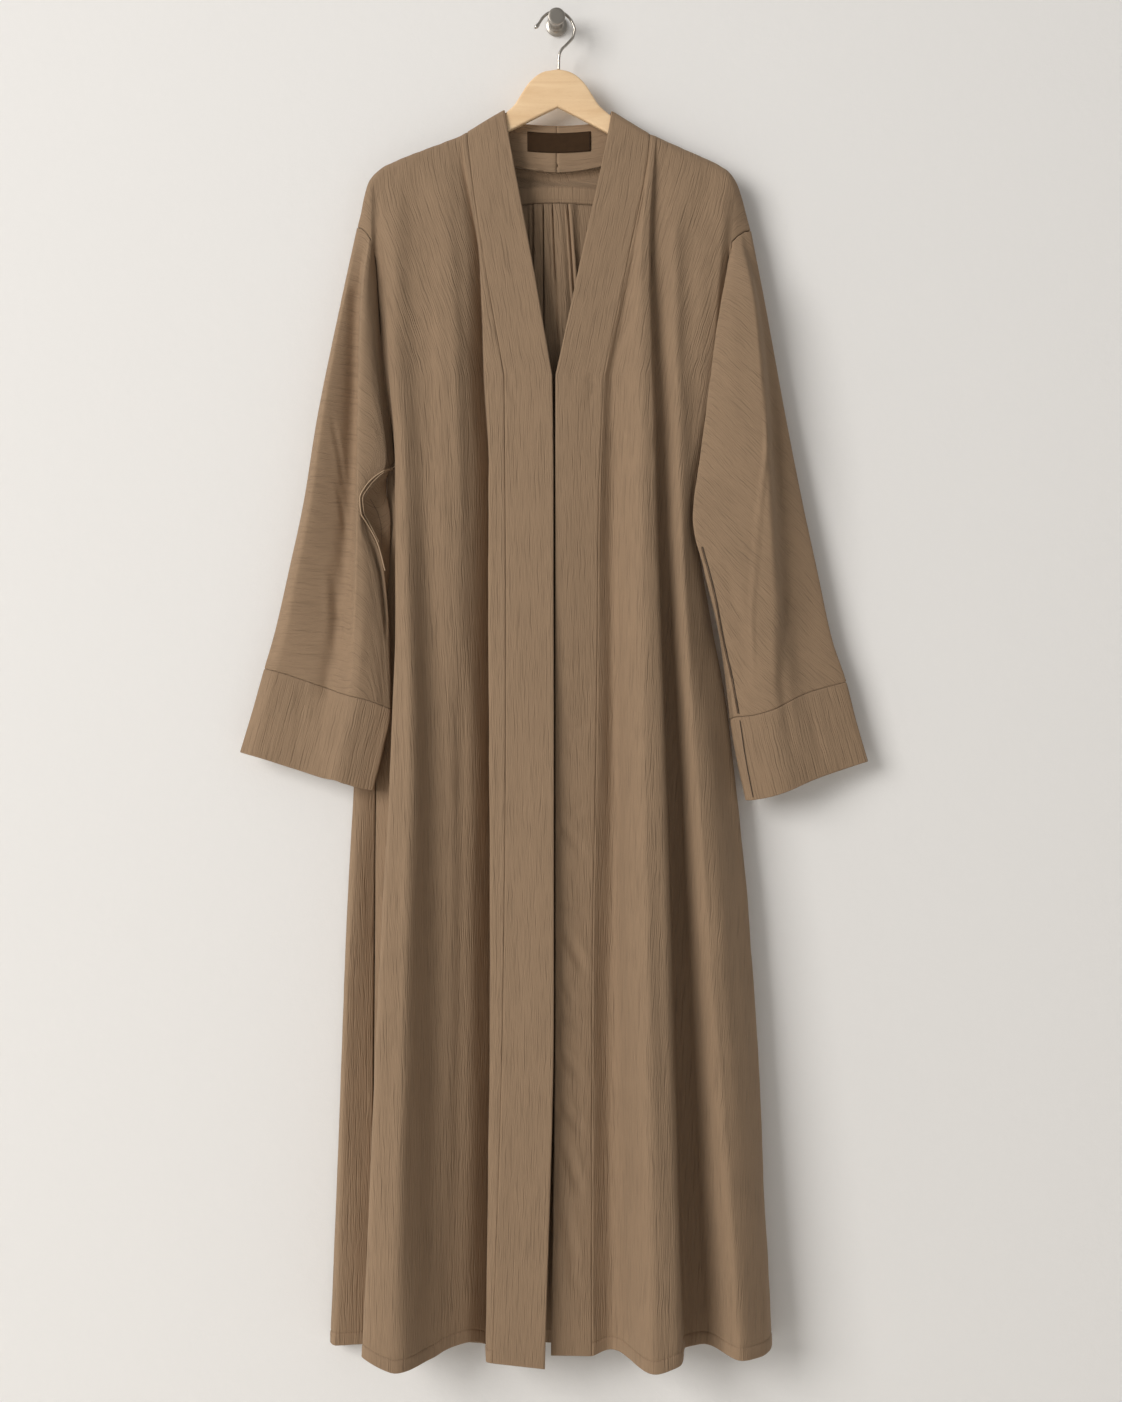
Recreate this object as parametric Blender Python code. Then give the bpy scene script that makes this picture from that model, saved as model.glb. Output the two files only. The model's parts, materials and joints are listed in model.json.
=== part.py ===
"""An open kimono abaya of crinkled crepe, hung on a flat wooden hanger from a round wall knob.

Tables are in millimetres. A place is (x, out, z): x to the right as the garment is looked at, out from
the wall, and z up from the middle of the knob's base. The garment's own right side is at -x.
Each cloth piece is a net of points: fold lines run down it, levels run across it, and a smooth
surface through both is given the thickness of the cloth.
"""
import math

import bmesh
import bpy
import numpy as np

MM = 0.001
SEAM_GAP = 0.3
TO_ROOM = (0, 1, 0)
TO_WALL = (0, -1, 0)
CLOTH = 1.4
FACED_CLOTH = 2.2
ROW_STEP = 70.0
FOLD_STEP = 16.0
NECK_STEP = 16.0
TUBE_STEP = 18.0
BACK_STEP = 24.0
SEAM_REACH = 14.0
SEAM_SLACK = 0.5
STEP_SLACK = 0.25
SHOULDER_TURNS = (0, 30, 60)
SHOULDER_MARKS = (0, 4, 9, 14)
BROW_HEIGHT = -150
HEM_HEIGHT = -1585
UNDERARM_MARK = 6
ARMHOLE_STOPS = 400
SMOOTH_ANGLES = {"cloth": 60, "turned": 50}
SHOULDER_GAP = 0.9
ARMHOLE_GAP = {"right": 1.3, "left": 2.0}

# The neck band and placket in one run: inner edge and outer edge, from hem to centre back to hem.
BAND_RIGHT = (
    # level, inner (x, out, z), outer (x, out, z)
    ("hem", (-13.5, 86, -1595), (-75, 86, -1588)),
    ("knee", (-3, 75, -1165), (-63, 73, -1165)),
    ("hip", (-3, 67, -836), (-60, 65, -836)),
    ("elbow", (-3.4, 62, -693), (-60, 60, -693)),
    ("underarm", (-3.6, 58, -537), (-61, 56, -537)),
    ("vee", (-5, 54, -428), (-62, 52, -428)),
    ("chest", (-29, 49, -290), (-86, 47, -290)),
    ("brow", (-61, 39, -116), (-106, 39, -144)),
    ("ridge", (-62.7, 30, -108.5), (-107, 30, -135)),
)
BAND_BACK = (
    ("behind right", (-60.5, 21.6, -117), (-105, 21.6, -143.5)),
    ("back right", (-44, 16, -121.5), (-66, 15, -166)),
    ("centre", (0.5, 14, -124), (0.5, 13, -176)),
    ("back left", (46, 16, -121.5), (69, 15, -166)),
    ("behind left", (63, 21.6, -118), (109, 21.6, -145.5)),
)
BAND_LEFT = (
    ("ridge", (66, 30, -109.5), (111, 30, -137)),
    ("brow", (64.6, 39, -117), (110.5, 39, -146)),
    ("chest", (28.5, 48, -290), (85, 46, -290)),
    ("vee", (-1.2, 53, -428), (56, 50.5, -428)),
    ("underarm", (-1.6, 59, -592), (50, 53, -592)),
    ("elbow", (-1.7, 62, -717), (49, 54, -717)),
    ("hip", (-1.7, 65, -836), (47.5, 56, -836)),
    ("knee", (-1.7, 70, -1165), (42.5, 60, -1165)),
    ("hem", (-6.4, 76, -1584), (42, 67, -1587)),
)

# Fold lines of the fronts, from the band seam to the armhole and side seam.
# Between brow and hem every line crosses the levels at the heights given with the table.
RIGHT_HEIGHTS = (-290, -428, -537, -693, -836, -1165)
RIGHT_FOLDS = (
    # fold, ridge, brow, then (x, out) at chest, vee, underarm, elbow, hip, knee, then hem
    ("seam", (-107, 30, -135), (-106, 39, -144), (-86, 47), (-62, 52), (-61, 56), (-60, 60),
     (-60, 65), (-63, 73), (-75, 86, -1588)),
    ("strip edge", (-112, 30, -138), (-111, 39.4, -147), (-91, 50), (-86, 55), (-80, 59), (-80, 63),
     (-79, 68), (-78, 77), (-82, 88, -1587)),
    ("deep valley", (-119, 30, -141), (-119, 39, -150), (-99, 37), (-95, 36), (-92, 35),
     (-92, 34.5), (-91, 34), (-93, 34), (-100, 34, -1570)),
    ("middle crest", (-139, 30, -149), (-138, 39.2, -157.5), (-133, 49), (-128, 53), (-122, 55),
     (-121, 57), (-121, 59), (-122, 61), (-127, 66, -1578)),
    ("hollow", (-168, 30, -160), (-168, 39, -169), (-170, 44), (-162, 47), (-156, 49),
     (-153, 51), (-151, 53), (-150, 57), (-152, 76, -1586)),
    ("side crest", (-192, 30, -169.5), (-191, 39, -179), (-192, 49), (-190, 54), (-180, 58),
     (-179, 68), (-181, 77), (-189, 98), (-195, 117, -1591)),
    ("side edge", (-210, 30, -179), (-208, 39, -189), (-203, 45), (-198, 49), (-191, 50),
     (-190, 60), (-194, 68), (-208, 86), (-226, 101, -1576)),
    ("tuck", (-224, 30, -193), (-219, 39, -204), (-209, 37), (-200, 41), (-189, 42), (-187, 30),
     (-187, 28), (-195, 34), (-207, 42, -1581)),
    ("side seam", (-238, 30, -249), (-221, 39, -265), (-216, 32), (-206, 34), (-193, 32),
     (-204, 18), (-216, 13), (-219, 14), (-222, 17, -1584)),
)
LEFT_HEIGHTS = (-290, -428, -592, -717, -836, -1165)
LEFT_FOLDS = (
    ("seam", (111, 30, -137), (110.5, 39, -146), (85, 46), (56, 50.5), (50, 53), (49, 54),
     (47.5, 56), (42.5, 60), (42, 67, -1587)),
    ("trough", (117, 30, -139.5), (117, 39, -148.5), (91, 45), (66, 45), (58.6, 46), (56, 47),
     (55, 48), (52, 51), (58, 54, -1582)),
    ("main crest", (122, 30, -141.5), (122, 39.6, -150.5), (99, 52), (101, 60), (102, 68), (103, 75),
     (104, 82), (107, 99), (115, 117, -1592)),
    ("crest edge", (127, 30, -144), (127, 39.2, -153), (108, 47), (113, 53), (116, 58), (119, 63),
     (122, 69), (130, 81), (143, 97, -1583)),
    ("fold root", (133, 30, -147), (132, 39, -156), (114, 39), (118, 37), (121.5, 36), (125, 35),
     (130, 34), (142, 34), (155, 36, -1583)),
    ("fold floor", (144, 30, -152), (141, 39, -161), (122, 40), (126, 39), (131, 40), (135, 39),
     (141, 38), (155, 38), (176, 40, -1578)),
    ("outer crest", (165, 30, -161), (162, 39, -170), (142, 48), (143, 54), (147, 59), (153, 63),
     (162, 68), (187, 80), (216, 93, -1583)),
    ("shallow", (185, 30, -170), (182, 39, -180), (170, 43), (167, 45), (156, 52), (166, 51),
     (179, 56), (209, 66), (239, 77, -1583)),
    ("side edge", (204, 30, -181), (202, 39, -193), (193, 44), (182, 44), (160, 47), (177, 40),
     (195, 40), (226, 48), (253, 56, -1580)),
    ("tuck", (216, 30, -197), (211, 39, -214), (200, 39), (188, 41), (164, 43), (184, 28),
     (205, 28), (236, 32), (256, 36, -1579)),
    ("side seam", (232, 30, -253), (208, 39, -269), (205, 34), (194, 36), (167, 36), (185, 18),
     (203, 17), (233, 17), (252, 19, -1584)),
)

# The back: the yoke ends in a seam that falls towards the armholes, the skirt hangs from it.
YOKE_OUT = 12
YOKE_ROUND = 9
YOKE_BEHIND = (0.2, 0.5)
YOKE_ROWS = (0.3, 0.65, 1.0)
BACK_UPPER_ROWS = 5
YOKE_SEAM = (
    # x, z
    (-216, -282),
    (-150, -246),
    (-70, -222),
    (0, -218),
    (70, -222),
    (150, -247),
    (206, -288),
)
BACK_HEIGHTS = (-428, -565, -705, -836, -1165, -1578)
BACK_FOLDS = (
    # fold, (x, out) at the yoke seam, vee, underarm, elbow, hip, knee, hem
    ("right roll", (-212, 13.5), (-204, 16), (-199, 20), (-216, 14), (-230, 13.5), (-250, 24), (-264, 26)),
    ("right turn", (-208, 12), (-203, 13), (-203, 14), (-223, 12), (-238, 12), (-255, 12), (-271, 12)),
    ("right fold", (-186, 9), (-186, 9), (-186, 9), (-198, 8), (-210, 8), (-225, 8), (-238, 8)),
    ("right swell", (-150, 13), (-150, 14), (-150, 15), (-156, 15), (-160, 15), (-172, 16), (-182, 17)),
    ("right dip", (-112, 9), (-112, 9), (-112, 8), (-113, 8), (-115, 8), (-122, 8), (-128, 8)),
    ("right near", (-70, 13), (-70, 14), (-70, 14), (-70, 14), (-72, 14), (-75, 15), (-78, 16)),
    ("pleat 1 root", (-34, 11), (-35, 10), (-36, 10), (-37, 10), (-38, 10), (-39, 10), (-40, 9)),
    ("pleat 1", (-27, 16), (-27, 15), (-27, 14.5), (-27, 14), (-27, 13.5), (-27, 13), (-28, 13)),
    ("pleat 2 root", (-15, 11), (-15, 10.5), (-15, 11), (-16, 11), (-16, 11), (-17, 11), (-18, 10)),
    ("pleat 2", (-10, 16), (-7, 15.5), (-6, 14.5), (-6, 14), (-6, 13.5), (-6, 13), (-6, 13)),
    ("pleat 3 root", (-5, 11), (4, 10.5), (4, 11), (4, 11), (4, 11), (4, 11), (4, 10)),
    ("pleat 3", (2, 16), (10, 15.5), (11, 14.5), (12, 14), (12, 13.5), (12, 13), (13, 13)),
    ("pleat 4 root", (7, 11), (16, 10.5), (18, 11), (19, 11), (20, 11), (21, 11), (22, 10)),
    ("pleat 4", (13, 16), (23, 15), (26, 14.5), (28, 14), (29, 13.5), (31, 13), (33, 13)),
    ("left root", (24, 11), (34, 10), (37, 10), (40, 10), (42, 10), (46, 10), (50, 9)),
    ("left near", (70, 13), (70, 14), (70, 14), (76, 14), (80, 14), (88, 15), (98, 16)),
    ("left dip", (112, 9), (112, 9), (104, 8), (110, 8), (118, 8), (132, 8), (150, 8)),
    ("left swell", (150, 13), (148, 14), (136, 14), (144, 14), (156, 13), (182, 13), (204, 13)),
    ("left fold", (184, 9), (178, 9), (156, 10), (168, 9), (186, 8), (214, 8), (236, 8)),
    ("left turn", (200, 12), (190, 13), (167, 16), (182, 10), (200, 10), (230, 10), (248, 10)),
)
BACK_ARMHOLES = {
    # side: places between the yoke seam and the underarm
    "right": ((-216, 14, -282), (-206, 18, -428)),
    "left": ((206, 14, -288), (193, 19, -428)),
}

# Sleeves: lines from the armhole to the cuff seam. "start" is 0 at the shoulder, 1 at the underarm
# and 2 at the shoulder again, the first half along the front armhole and the second along the back.
SLEEVE_MARKS = (0, 80, 200, 300, 375, 465, 530, 580, 630)
CUFF_SEAM = 530
RIGHT_SLEEVE = (
    # line, start, then (x, out, z) at five levels and at the cuff seam
    ("outer", 0.0, (-258, 30, -341), (-286, 30, -478), (-302, 29, -577), (-318, 28, -651),
     (-337, 28, -734), (-349, 28, -775)),
    ("bulge", 0.02, (-253, 40, -343), (-277, 47, -479), (-291, 48, -579), (-305, 46, -653),
     (-321, 43, -738), (-332, 41, -779)),
    ("soft valley", 0.045, (-243, 40, -349), (-256, 40, -480), (-264, 40, -584), (-271, 40, -658),
     (-280, 40, -747), (-288, 39.5, -792)),
    ("crease", 0.08, (-230, 57, -354), (-231, 62, -488), (-236, 62, -590), (-236, 61, -664),
     (-239, 59, -753), (-243, 56, -808)),
    ("chest", 0.16, (-221, 48, -374), (-221, 54, -504), (-234, 56, -586), (-228, 56, -664),
     (-225, 55, -759), (-225, 52, -813)),
    ("inner", 0.45, (-213, 44, -432), (-215, 48, -526), (-233, 51, -582), (-219, 51, -660),
     (-214, 50, -759), (-210, 48, -819)),
    ("underarm seam", 0.97, (-204, 38, -544), (-218, 41, -558), (-231, 44, -578), (-209, 46, -648),
     (-202, 46, -741), (-197, 43, -823)),
    ("under layer", 1.03, (-203, 33, -548), (-211, 34, -562), (-215, 34, -588), (-204, 34, -648),
     (-199, 34, -740), (-198, 34, -823)),
    ("under edge", 1.08, (-205, 27, -545), (-210, 27, -563), (-204, 27, -597), (-202, 26, -655),
     (-203, 26, -740), (-206, 26, -821)),
    ("back inner", 1.45, (-222, 17, -450), (-228, 17, -512), (-232, 18, -584), (-236, 20, -662),
     (-237, 20, -752), (-236, 20, -812)),
    ("back", 1.85, (-240, 15, -352), (-256, 14, -476), (-266, 14, -578), (-276, 15, -656),
     (-285, 16, -746), (-293, 17, -793)),
)
RIGHT_CUFF = (
    # line, (x, out, z) at the seam, halfway and at the opening
    ("outer", (-349, 28, -775), (-363, 28, -825), (-378, 28, -875)),
    ("bulge", (-332, 41, -779), (-345, 40, -829), (-359, 38, -880)),
    ("soft valley", (-288, 39.5, -792), (-302, 39, -843), (-316, 37.5, -890)),
    ("crease", (-243, 56, -808), (-252, 54, -857), (-262, 50, -908)),
    ("chest", (-225, 52, -813), (-236, 50, -863), (-249, 47, -913)),
    ("inner", (-210, 48, -819), (-220, 46, -869), (-233, 43, -918)),
    ("underarm seam", (-197, 43, -823), (-206, 41, -871), (-218, 38, -920)),
    ("under layer", (-198, 34, -823), (-207, 33, -871), (-219, 31, -920)),
    ("under edge", (-206, 26, -821), (-216, 25, -870), (-228, 25, -919)),
    ("back inner", (-236, 20, -812), (-249, 20, -861), (-262, 20, -910)),
    ("back", (-293, 17, -793), (-306, 17, -843), (-320, 17, -892)),
)
LEFT_SLEEVE = (
    ("outer", 0.0, (249, 30, -341), (274, 30, -478), (294, 29, -579), (311, 28, -657),
     (329, 28, -740), (346, 28, -791)),
    ("soft valley", 0.03, (242, 42, -347), (259, 41, -486), (272, 40, -589), (282, 40, -681),
     (289, 39.5, -753), (299, 39, -804)),
    ("crease", 0.05, (232, 57, -339), (243, 64, -476), (250, 66, -600), (254, 64, -682),
     (255, 60, -759), (254, 54, -825)),
    ("chest", 0.075, (213, 58, -354), (212, 63, -488), (208, 64, -612), (219, 62, -694),
     (231, 57, -771), (231, 51, -831)),
    ("fold edge", 0.12, (193, 57, -358), (175, 61, -490), (161, 60, -597), (175, 57, -660),
     (196, 52, -741), (212, 45, -833)),
    ("under fold", 0.5, (184, 53, -450), (172, 55.5, -541), (164, 55, -602), (174, 52, -656),
     (193, 47, -737), (207, 40.5, -835)),
    ("underarm seam", 0.97, (170, 43, -595), (169, 48, -600), (168, 50, -607), (177, 49, -653),
     (195, 45, -735), (206, 36, -836)),
    ("under edge", 1.08, (173, 34, -592), (176, 36, -600), (180, 37, -617), (189, 36, -663),
     (205, 34, -740), (214, 29, -835)),
    ("back inner", 1.5, (214, 18, -441), (217, 20, -489), (225, 22, -591), (231, 24, -680),
     (243, 22, -758), (249, 21, -826)),
    ("back", 1.85, (232, 15, -354), (253, 14, -482), (268, 15, -584), (278, 16, -674),
     (290, 17, -750), (299, 18, -806)),
)
LEFT_CUFF = (
    ("outer", (346, 28, -791), (358, 28, -838), (372, 28, -886)),
    ("soft valley", (299, 39, -804), (309, 40, -856), (320, 38, -902)),
    ("crease", (254, 54, -825), (262, 53, -875), (269, 50, -923)),
    ("chest", (231, 51, -831), (239, 50, -881), (248, 47, -929)),
    ("fold edge", (212, 45, -833), (219, 45, -883), (229, 42, -932)),
    ("under fold", (207, 40.5, -835), (215, 40, -884), (225, 38, -932)),
    ("underarm seam", (206, 36, -836), (214, 36, -884), (225, 34, -932)),
    ("under edge", (214, 29, -835), (223, 28, -884), (235, 27, -931)),
    ("back inner", (249, 21, -826), (258, 21, -875), (267, 21, -924)),
    ("back", (299, 18, -806), (309, 18, -857), (320, 18, -904)),
)

# Trim inside the back neck.
LABEL_SIZE = (76.0, 24.0)
LABEL_WALL = 0.8
LABEL_MIDDLE = 3.0
LABEL_DROP = 9.0
STRIP_SIZE = (196.0, 19.0)
STRIP_WALL = 1.4

# Hanger, hook and knob.
HANGER_MIDDLE = 30.0
HANGER_THICK = 10.0
HANGER_EDGE = 3.4
HANGER_BELOW_CLOTH = 3.4
HANGER_ARM = 21.0
HANGER_REACH = 197.0
HANGER_NECK = ((20, -66), (33, -77), (44, -93.5), (50.5, -103.5), (62, -114))
HANGER_ARCH_TOP = -61.0
HANGER_ARCH = (1.5, 7.8, 1.1)
HANGER_START = 4.0
HANGER_TAPER = 6.0
HANGER_TIP = ((4, -7), (-1, -14))
HANGER_NOTCH = ((-57, -135), (1.5, -106), (59, -136))
HOOK_WIRE = 1.75
HOOK_TIP = (0.5, 1.1, 1.45, 1.3)
HOOK_ROUTE = (
    # x, z of the bent wire's middle, in the hanger's plane
    (-25.6, -12.0), (-25.0, -10.6), (-24.0, -9.4), (-22.7, -8.0), (-20.3, -4.4), (-15.6, 2.4),
    (-8.8, 7.2), (0.3, 8.7), (7.0, 7.4), (13.0, 3.3), (18.7, -4.2), (21.6, -12.8), (19.8, -21.3),
    (13.2, -29.5), (6.2, -36.6), (3.5, -42.4), (2.6, -50.0), (2.5, -60.6),
)
KNOB_SIDES = 32
KNOB_PROFILE = (
    # out, radius
    (0.0, 12.2), (0.6, 12.8), (2.6, 12.8), (3.4, 12.2), (5.0, 9.0), (8.0, 7.0), (12.0, 6.5),
    (34.0, 6.5), (35.6, 7.4), (36.4, 9.6), (37.4, 10.3), (41.0, 10.3), (42.0, 9.6),
)


def clear_scene():
    """Leaves an empty scene."""
    for obj in list(bpy.data.objects):
        bpy.data.objects.remove(obj, do_unlink=True)


def finish_material(name, colour, roughness, metallic=0.0):
    """A plain Principled material, with the colour in sRGB from 0 to 255."""
    material = bpy.data.materials.new(name)
    material.use_nodes = True
    shader = material.node_tree.nodes["Principled BSDF"]
    linear = [((c / 255 + 0.055) / 1.055) ** 2.4 for c in colour]
    shader.inputs["Base Color"].default_value = (*linear, 1.0)
    shader.inputs["Roughness"].default_value = roughness
    shader.inputs["Metallic"].default_value = metallic
    return material


def smooth_through(marks, values, at):
    """Values on a smooth curve through the given ones, with no swing past a high or low one."""
    marks = np.asarray(marks, float)
    values = np.asarray(values, float)
    shape = (-1,) + (1,) * (values.ndim - 1)
    spans = np.diff(marks).reshape(shape)
    rises = np.diff(values, axis=0) / spans
    slopes = np.empty_like(values)
    slopes[0] = rises[0]
    slopes[-1] = rises[-1]
    before, after = rises[:-1], rises[1:]
    same_way = before * after > 0
    safe = np.where(same_way, before + after, 1.0)
    slopes[1:-1] = np.where(same_way, 2 * before * after / safe, 0.0)
    at = np.asarray(at, float)
    piece = np.clip(np.searchsorted(marks, at, side="right") - 1, 0, len(marks) - 2)
    span = spans[piece]
    t = (at - marks[piece]).reshape(shape) / span
    start, end = values[piece], values[piece + 1]
    return (
        start * (2 * t**3 - 3 * t**2 + 1)
        + slopes[piece] * span * (t**3 - 2 * t**2 + t)
        + end * (3 * t**2 - 2 * t**3)
        + slopes[piece + 1] * span * (t**3 - t**2)
    )


def divided(marks, step):
    """The marks with even stops between them, hardly further apart than the step."""
    stops = [marks[0]]
    for low, high in zip(marks, marks[1:]):
        count = max(1, math.ceil((high - low) / step - STEP_SLACK))
        stops += [low + (high - low) * i / count for i in range(1, count + 1)]
    return np.array(stops)


def running(lengths):
    """Marks at 0 and after each length."""
    return np.concatenate([[0.0], np.cumsum(lengths)])


def spread(lines):
    """Marks across the lines, from the mean distance between neighbours."""
    return running(np.linalg.norm(np.diff(lines, axis=0), axis=2).mean(axis=1))


def across(lines, step=FOLD_STEP):
    """Rows of points on the smooth surface across fold lines that already have all their rows."""
    marks = spread(lines)
    return smooth_through(marks, lines, divided(marks, step)).transpose(1, 0, 2)


def around(lines, step=FOLD_STEP):
    """As across, for lines that go right round a tube."""
    looped = np.concatenate([lines[-2:], lines, lines[:3]])
    marks = spread(looped)
    stops = divided(marks[2:-2], step)[:-1]
    return smooth_through(marks, looped, stops).transpose(1, 0, 2)


def rounded(ridge, brow, turn):
    """A place on the cloth's way over the hanger, this many degrees from the ridge to the brow."""
    angle = math.radians(turn)
    along_out, down = math.sin(angle), 1 - math.cos(angle)
    shares = ((along_out + down) / 2, along_out, down)
    return tuple(a + (b - a) * share for a, b, share in zip(ridge, brow, shares))


def front_lines(folds, heights):
    """The fold lines of one front, each with its level marks, rounded over the shoulder."""
    lines = []
    for fold in folds:
        ridge, brow, *between, hem = fold[1:]
        over = [rounded(ridge, brow, turn) for turn in SHOULDER_TURNS]
        middle = [(x, out, z) for (x, out), z in zip(between, heights)]
        lines.append(over + [brow] + middle + [hem])
    return np.array(lines, float)


def level_marks(heights):
    """Marks down a front: three rows over the shoulder, the brow, the levels and the hem."""
    brow = SHOULDER_MARKS[-1]
    below = [brow + BROW_HEIGHT - z for z in (*heights, HEM_HEIGHT)]
    return np.array([*SHOULDER_MARKS, *below], float)


def underarm_row(heights):
    """The row of a front that lies at its underarm."""
    marks = level_marks(heights)
    return int(np.argmin(np.abs(divided(marks, ROW_STEP) - marks[UNDERARM_MARK])))


def front_net(folds, heights):
    """Rows of points of one front."""
    marks = level_marks(heights)
    lines = front_lines(folds, heights)
    rows = smooth_through(marks, lines.transpose(1, 0, 2), divided(marks, ROW_STEP))
    return across(rows.transpose(1, 0, 2))


def band_lines(levels, heights):
    """Inner and outer edge of one front band, from the shoulder to the hem."""
    edges = []
    for edge in (1, 2):
        ridge, brow, *rest, hem = [level[edge] for level in levels]
        fold = ("band", ridge, brow) + tuple((x, out) for x, out, _ in rest) + (hem,)
        edges.append(fold)
    marks = level_marks(heights)
    lines = front_lines(edges, heights)
    return smooth_through(marks, lines.transpose(1, 0, 2), divided(marks, ROW_STEP))


def band_net():
    """Rows of the whole band, from the right hem round the neck to the left hem, and the rows where
    the shoulders and the centre back lie."""
    right = band_lines(BAND_RIGHT[::-1], RIGHT_HEIGHTS)
    left = band_lines(BAND_LEFT, LEFT_HEIGHTS)
    corners = [level[1:] for level in (BAND_RIGHT[-1], *BAND_BACK, BAND_LEFT[0])]
    over_right, over_left = (
        [[rounded(ridge, behind, turn) for ridge, behind in zip(top, back)] for turn in SHOULDER_TURNS]
        for top, back in ((corners[0], corners[1]), (corners[-1], corners[-2]))
    )
    corners = np.array(over_right + corners[1:-1] + over_left[::-1], float)
    marks = running(np.linalg.norm(np.diff(corners, axis=0), axis=2).mean(axis=1))
    neck = smooth_through(marks, corners, divided(marks, NECK_STEP))
    edges = np.concatenate([right[::-1], neck[1:-1], left])
    first = len(right) - 1
    last = first + len(neck) - 1
    return edges, first, (first + last) // 2, last


def filled(edges, parts=3):
    """A band net between its two edges."""
    share = np.linspace(0, 1, parts + 1)[None, :, None]
    return edges[:, :1] * (1 - share) + edges[:, 1:] * share


def seam_height(x):
    """Height of the yoke seam at this place across the back."""
    xs, zs = zip(*YOKE_SEAM)
    return float(smooth_through(xs, np.array(zs, float)[:, None], [x])[0, 0])


def yoke_net(front_right, front_left, edges, first, last):
    """The yoke hangs behind the shoulder seams and the neck band, down to its seam."""
    top = np.concatenate([front_right[0][::-1], edges[first + 1:last, 1], front_left[0]])
    columns = []
    for x, out, z in top:
        seam_x = min(max(x, YOKE_SEAM[0][0]), YOKE_SEAM[-1][0])
        seam = (seam_x, YOKE_OUT, seam_height(seam_x))
        over, back = YOKE_BEHIND
        behind = (x + (seam_x - x) * over, YOKE_OUT + (out - YOKE_OUT) * back, z - YOKE_ROUND)
        column = [rounded((x, out, z), behind, turn) for turn in (*SHOULDER_TURNS, 90)]
        column += [tuple(a + (b - a) * share for a, b in zip(behind, seam)) for share in YOKE_ROWS]
        columns.append(column)
    return np.array(columns).transpose(1, 0, 2)


def back_net(front_right, front_left, underarm_right, underarm_left):
    """The back skirt from the yoke seam to the hem, its edges shared with the fronts' side seams."""
    shares = np.linspace(0, 1, BACK_UPPER_ROWS + 1)[:-1]
    edges = []
    for side, front, row in (("right", front_right, underarm_right), ("left", front_left, underarm_left)):
        armhole = np.concatenate([np.array(BACK_ARMHOLES[side], float), front[row:row + 1, -1]])
        edges.append(np.concatenate([along(armhole, shares), front[row:, -1]]))
    right, left = edges
    columns = [right]
    for fold in BACK_FOLDS:
        places = np.array(fold[1:], float)
        top = seam_height(places[0, 0])
        heights = np.array([-z for z in (top, *BACK_HEIGHTS)])
        way = (places[0, 0] - right[0, 0]) / (left[0, 0] - right[0, 0])
        level = -(right[:, 2] + (left[:, 2] - right[:, 2]) * way)
        under = level[BACK_UPPER_ROWS]
        level[:BACK_UPPER_ROWS] = -top + (under + top) * shares
        found = smooth_through(heights, places, np.clip(level, heights[0], None))
        columns.append(np.stack([found[:, 0], found[:, 1], -level], axis=-1))
    columns.append(left)
    return across(np.array(columns), BACK_STEP)


def along(path, shares):
    """Points at these shares of the path's length."""
    path = np.asarray(path, float)
    run = running(np.linalg.norm(np.diff(path, axis=0), axis=1))
    return np.stack([np.interp(np.asarray(shares) * run[-1], run, path[:, i]) for i in range(3)], axis=-1)


def sleeve_net(sleeve, cuff, front_edge, back_edge):
    """Rings of points from the armhole to the sleeve's opening, and the row of the cuff seam. The
    first ring lies on the armhole."""
    lines = np.array([row[2:] + end[2:] for row, end in zip(sleeve, cuff)], float)
    starts = [row[1] for row in sleeve]
    seam = np.array([along(front_edge, [s])[0] if s <= 1 else along(back_edge, [s - 1])[0] for s in starts])
    lines = np.concatenate([seam[:, None], lines], axis=1)
    stops = divided(SLEEVE_MARKS, ROW_STEP)
    rows = smooth_through(SLEEVE_MARKS, lines.transpose(1, 0, 2), stops)
    net = around(rows.transpose(1, 0, 2), TUBE_STEP)
    net[0] = on_armhole(net[0], front_edge, back_edge)
    return net, int(np.argmin(np.abs(stops - CUFF_SEAM)))


def on_armhole(ring, front_edge, back_edge):
    """The ring's points moved to the nearest places on the armhole."""
    shares = np.linspace(0, 1, ARMHOLE_STOPS)
    hole = np.concatenate([along(edge, shares) for edge in (front_edge, back_edge)])
    nearest = [np.argmin(np.linalg.norm(hole - place, axis=1)) for place in ring]
    return hole[nearest]


def drawn_in(net, top=0.0, bottom=0.0, left=0.0, right=0.0):
    """The net with its edges moved inwards along the cloth, to leave room at the seams."""
    net = np.array(net, float)

    def step(edge, inner, size):
        way = inner - edge
        seam = np.gradient(edge, axis=0)
        seam /= np.maximum(np.linalg.norm(seam, axis=1, keepdims=True), 1e-9)
        way -= seam * (way * seam).sum(axis=1, keepdims=True)
        return edge + way * size / np.maximum(np.linalg.norm(way, axis=1, keepdims=True), size)

    net[0] = step(net[0], net[1], top)
    net[-1] = step(net[-1], net[-2], bottom)
    net[:, 0] = step(net[:, 0], net[:, 1], left)
    net[:, -1] = step(net[:, -1], net[:, -2], right)
    return net


def world(place):
    """Metres, with the wall at y = 0 and the garment in front of it at -y."""
    x, out, z = place
    return (x * MM, -out * MM, z * MM)


def new_object(name, mesh, material):
    """Puts a finished mesh in the scene."""
    obj = bpy.data.objects.new(name, mesh)
    mesh.materials.append(material)
    bpy.context.scene.collection.objects.link(obj)
    return obj


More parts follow.
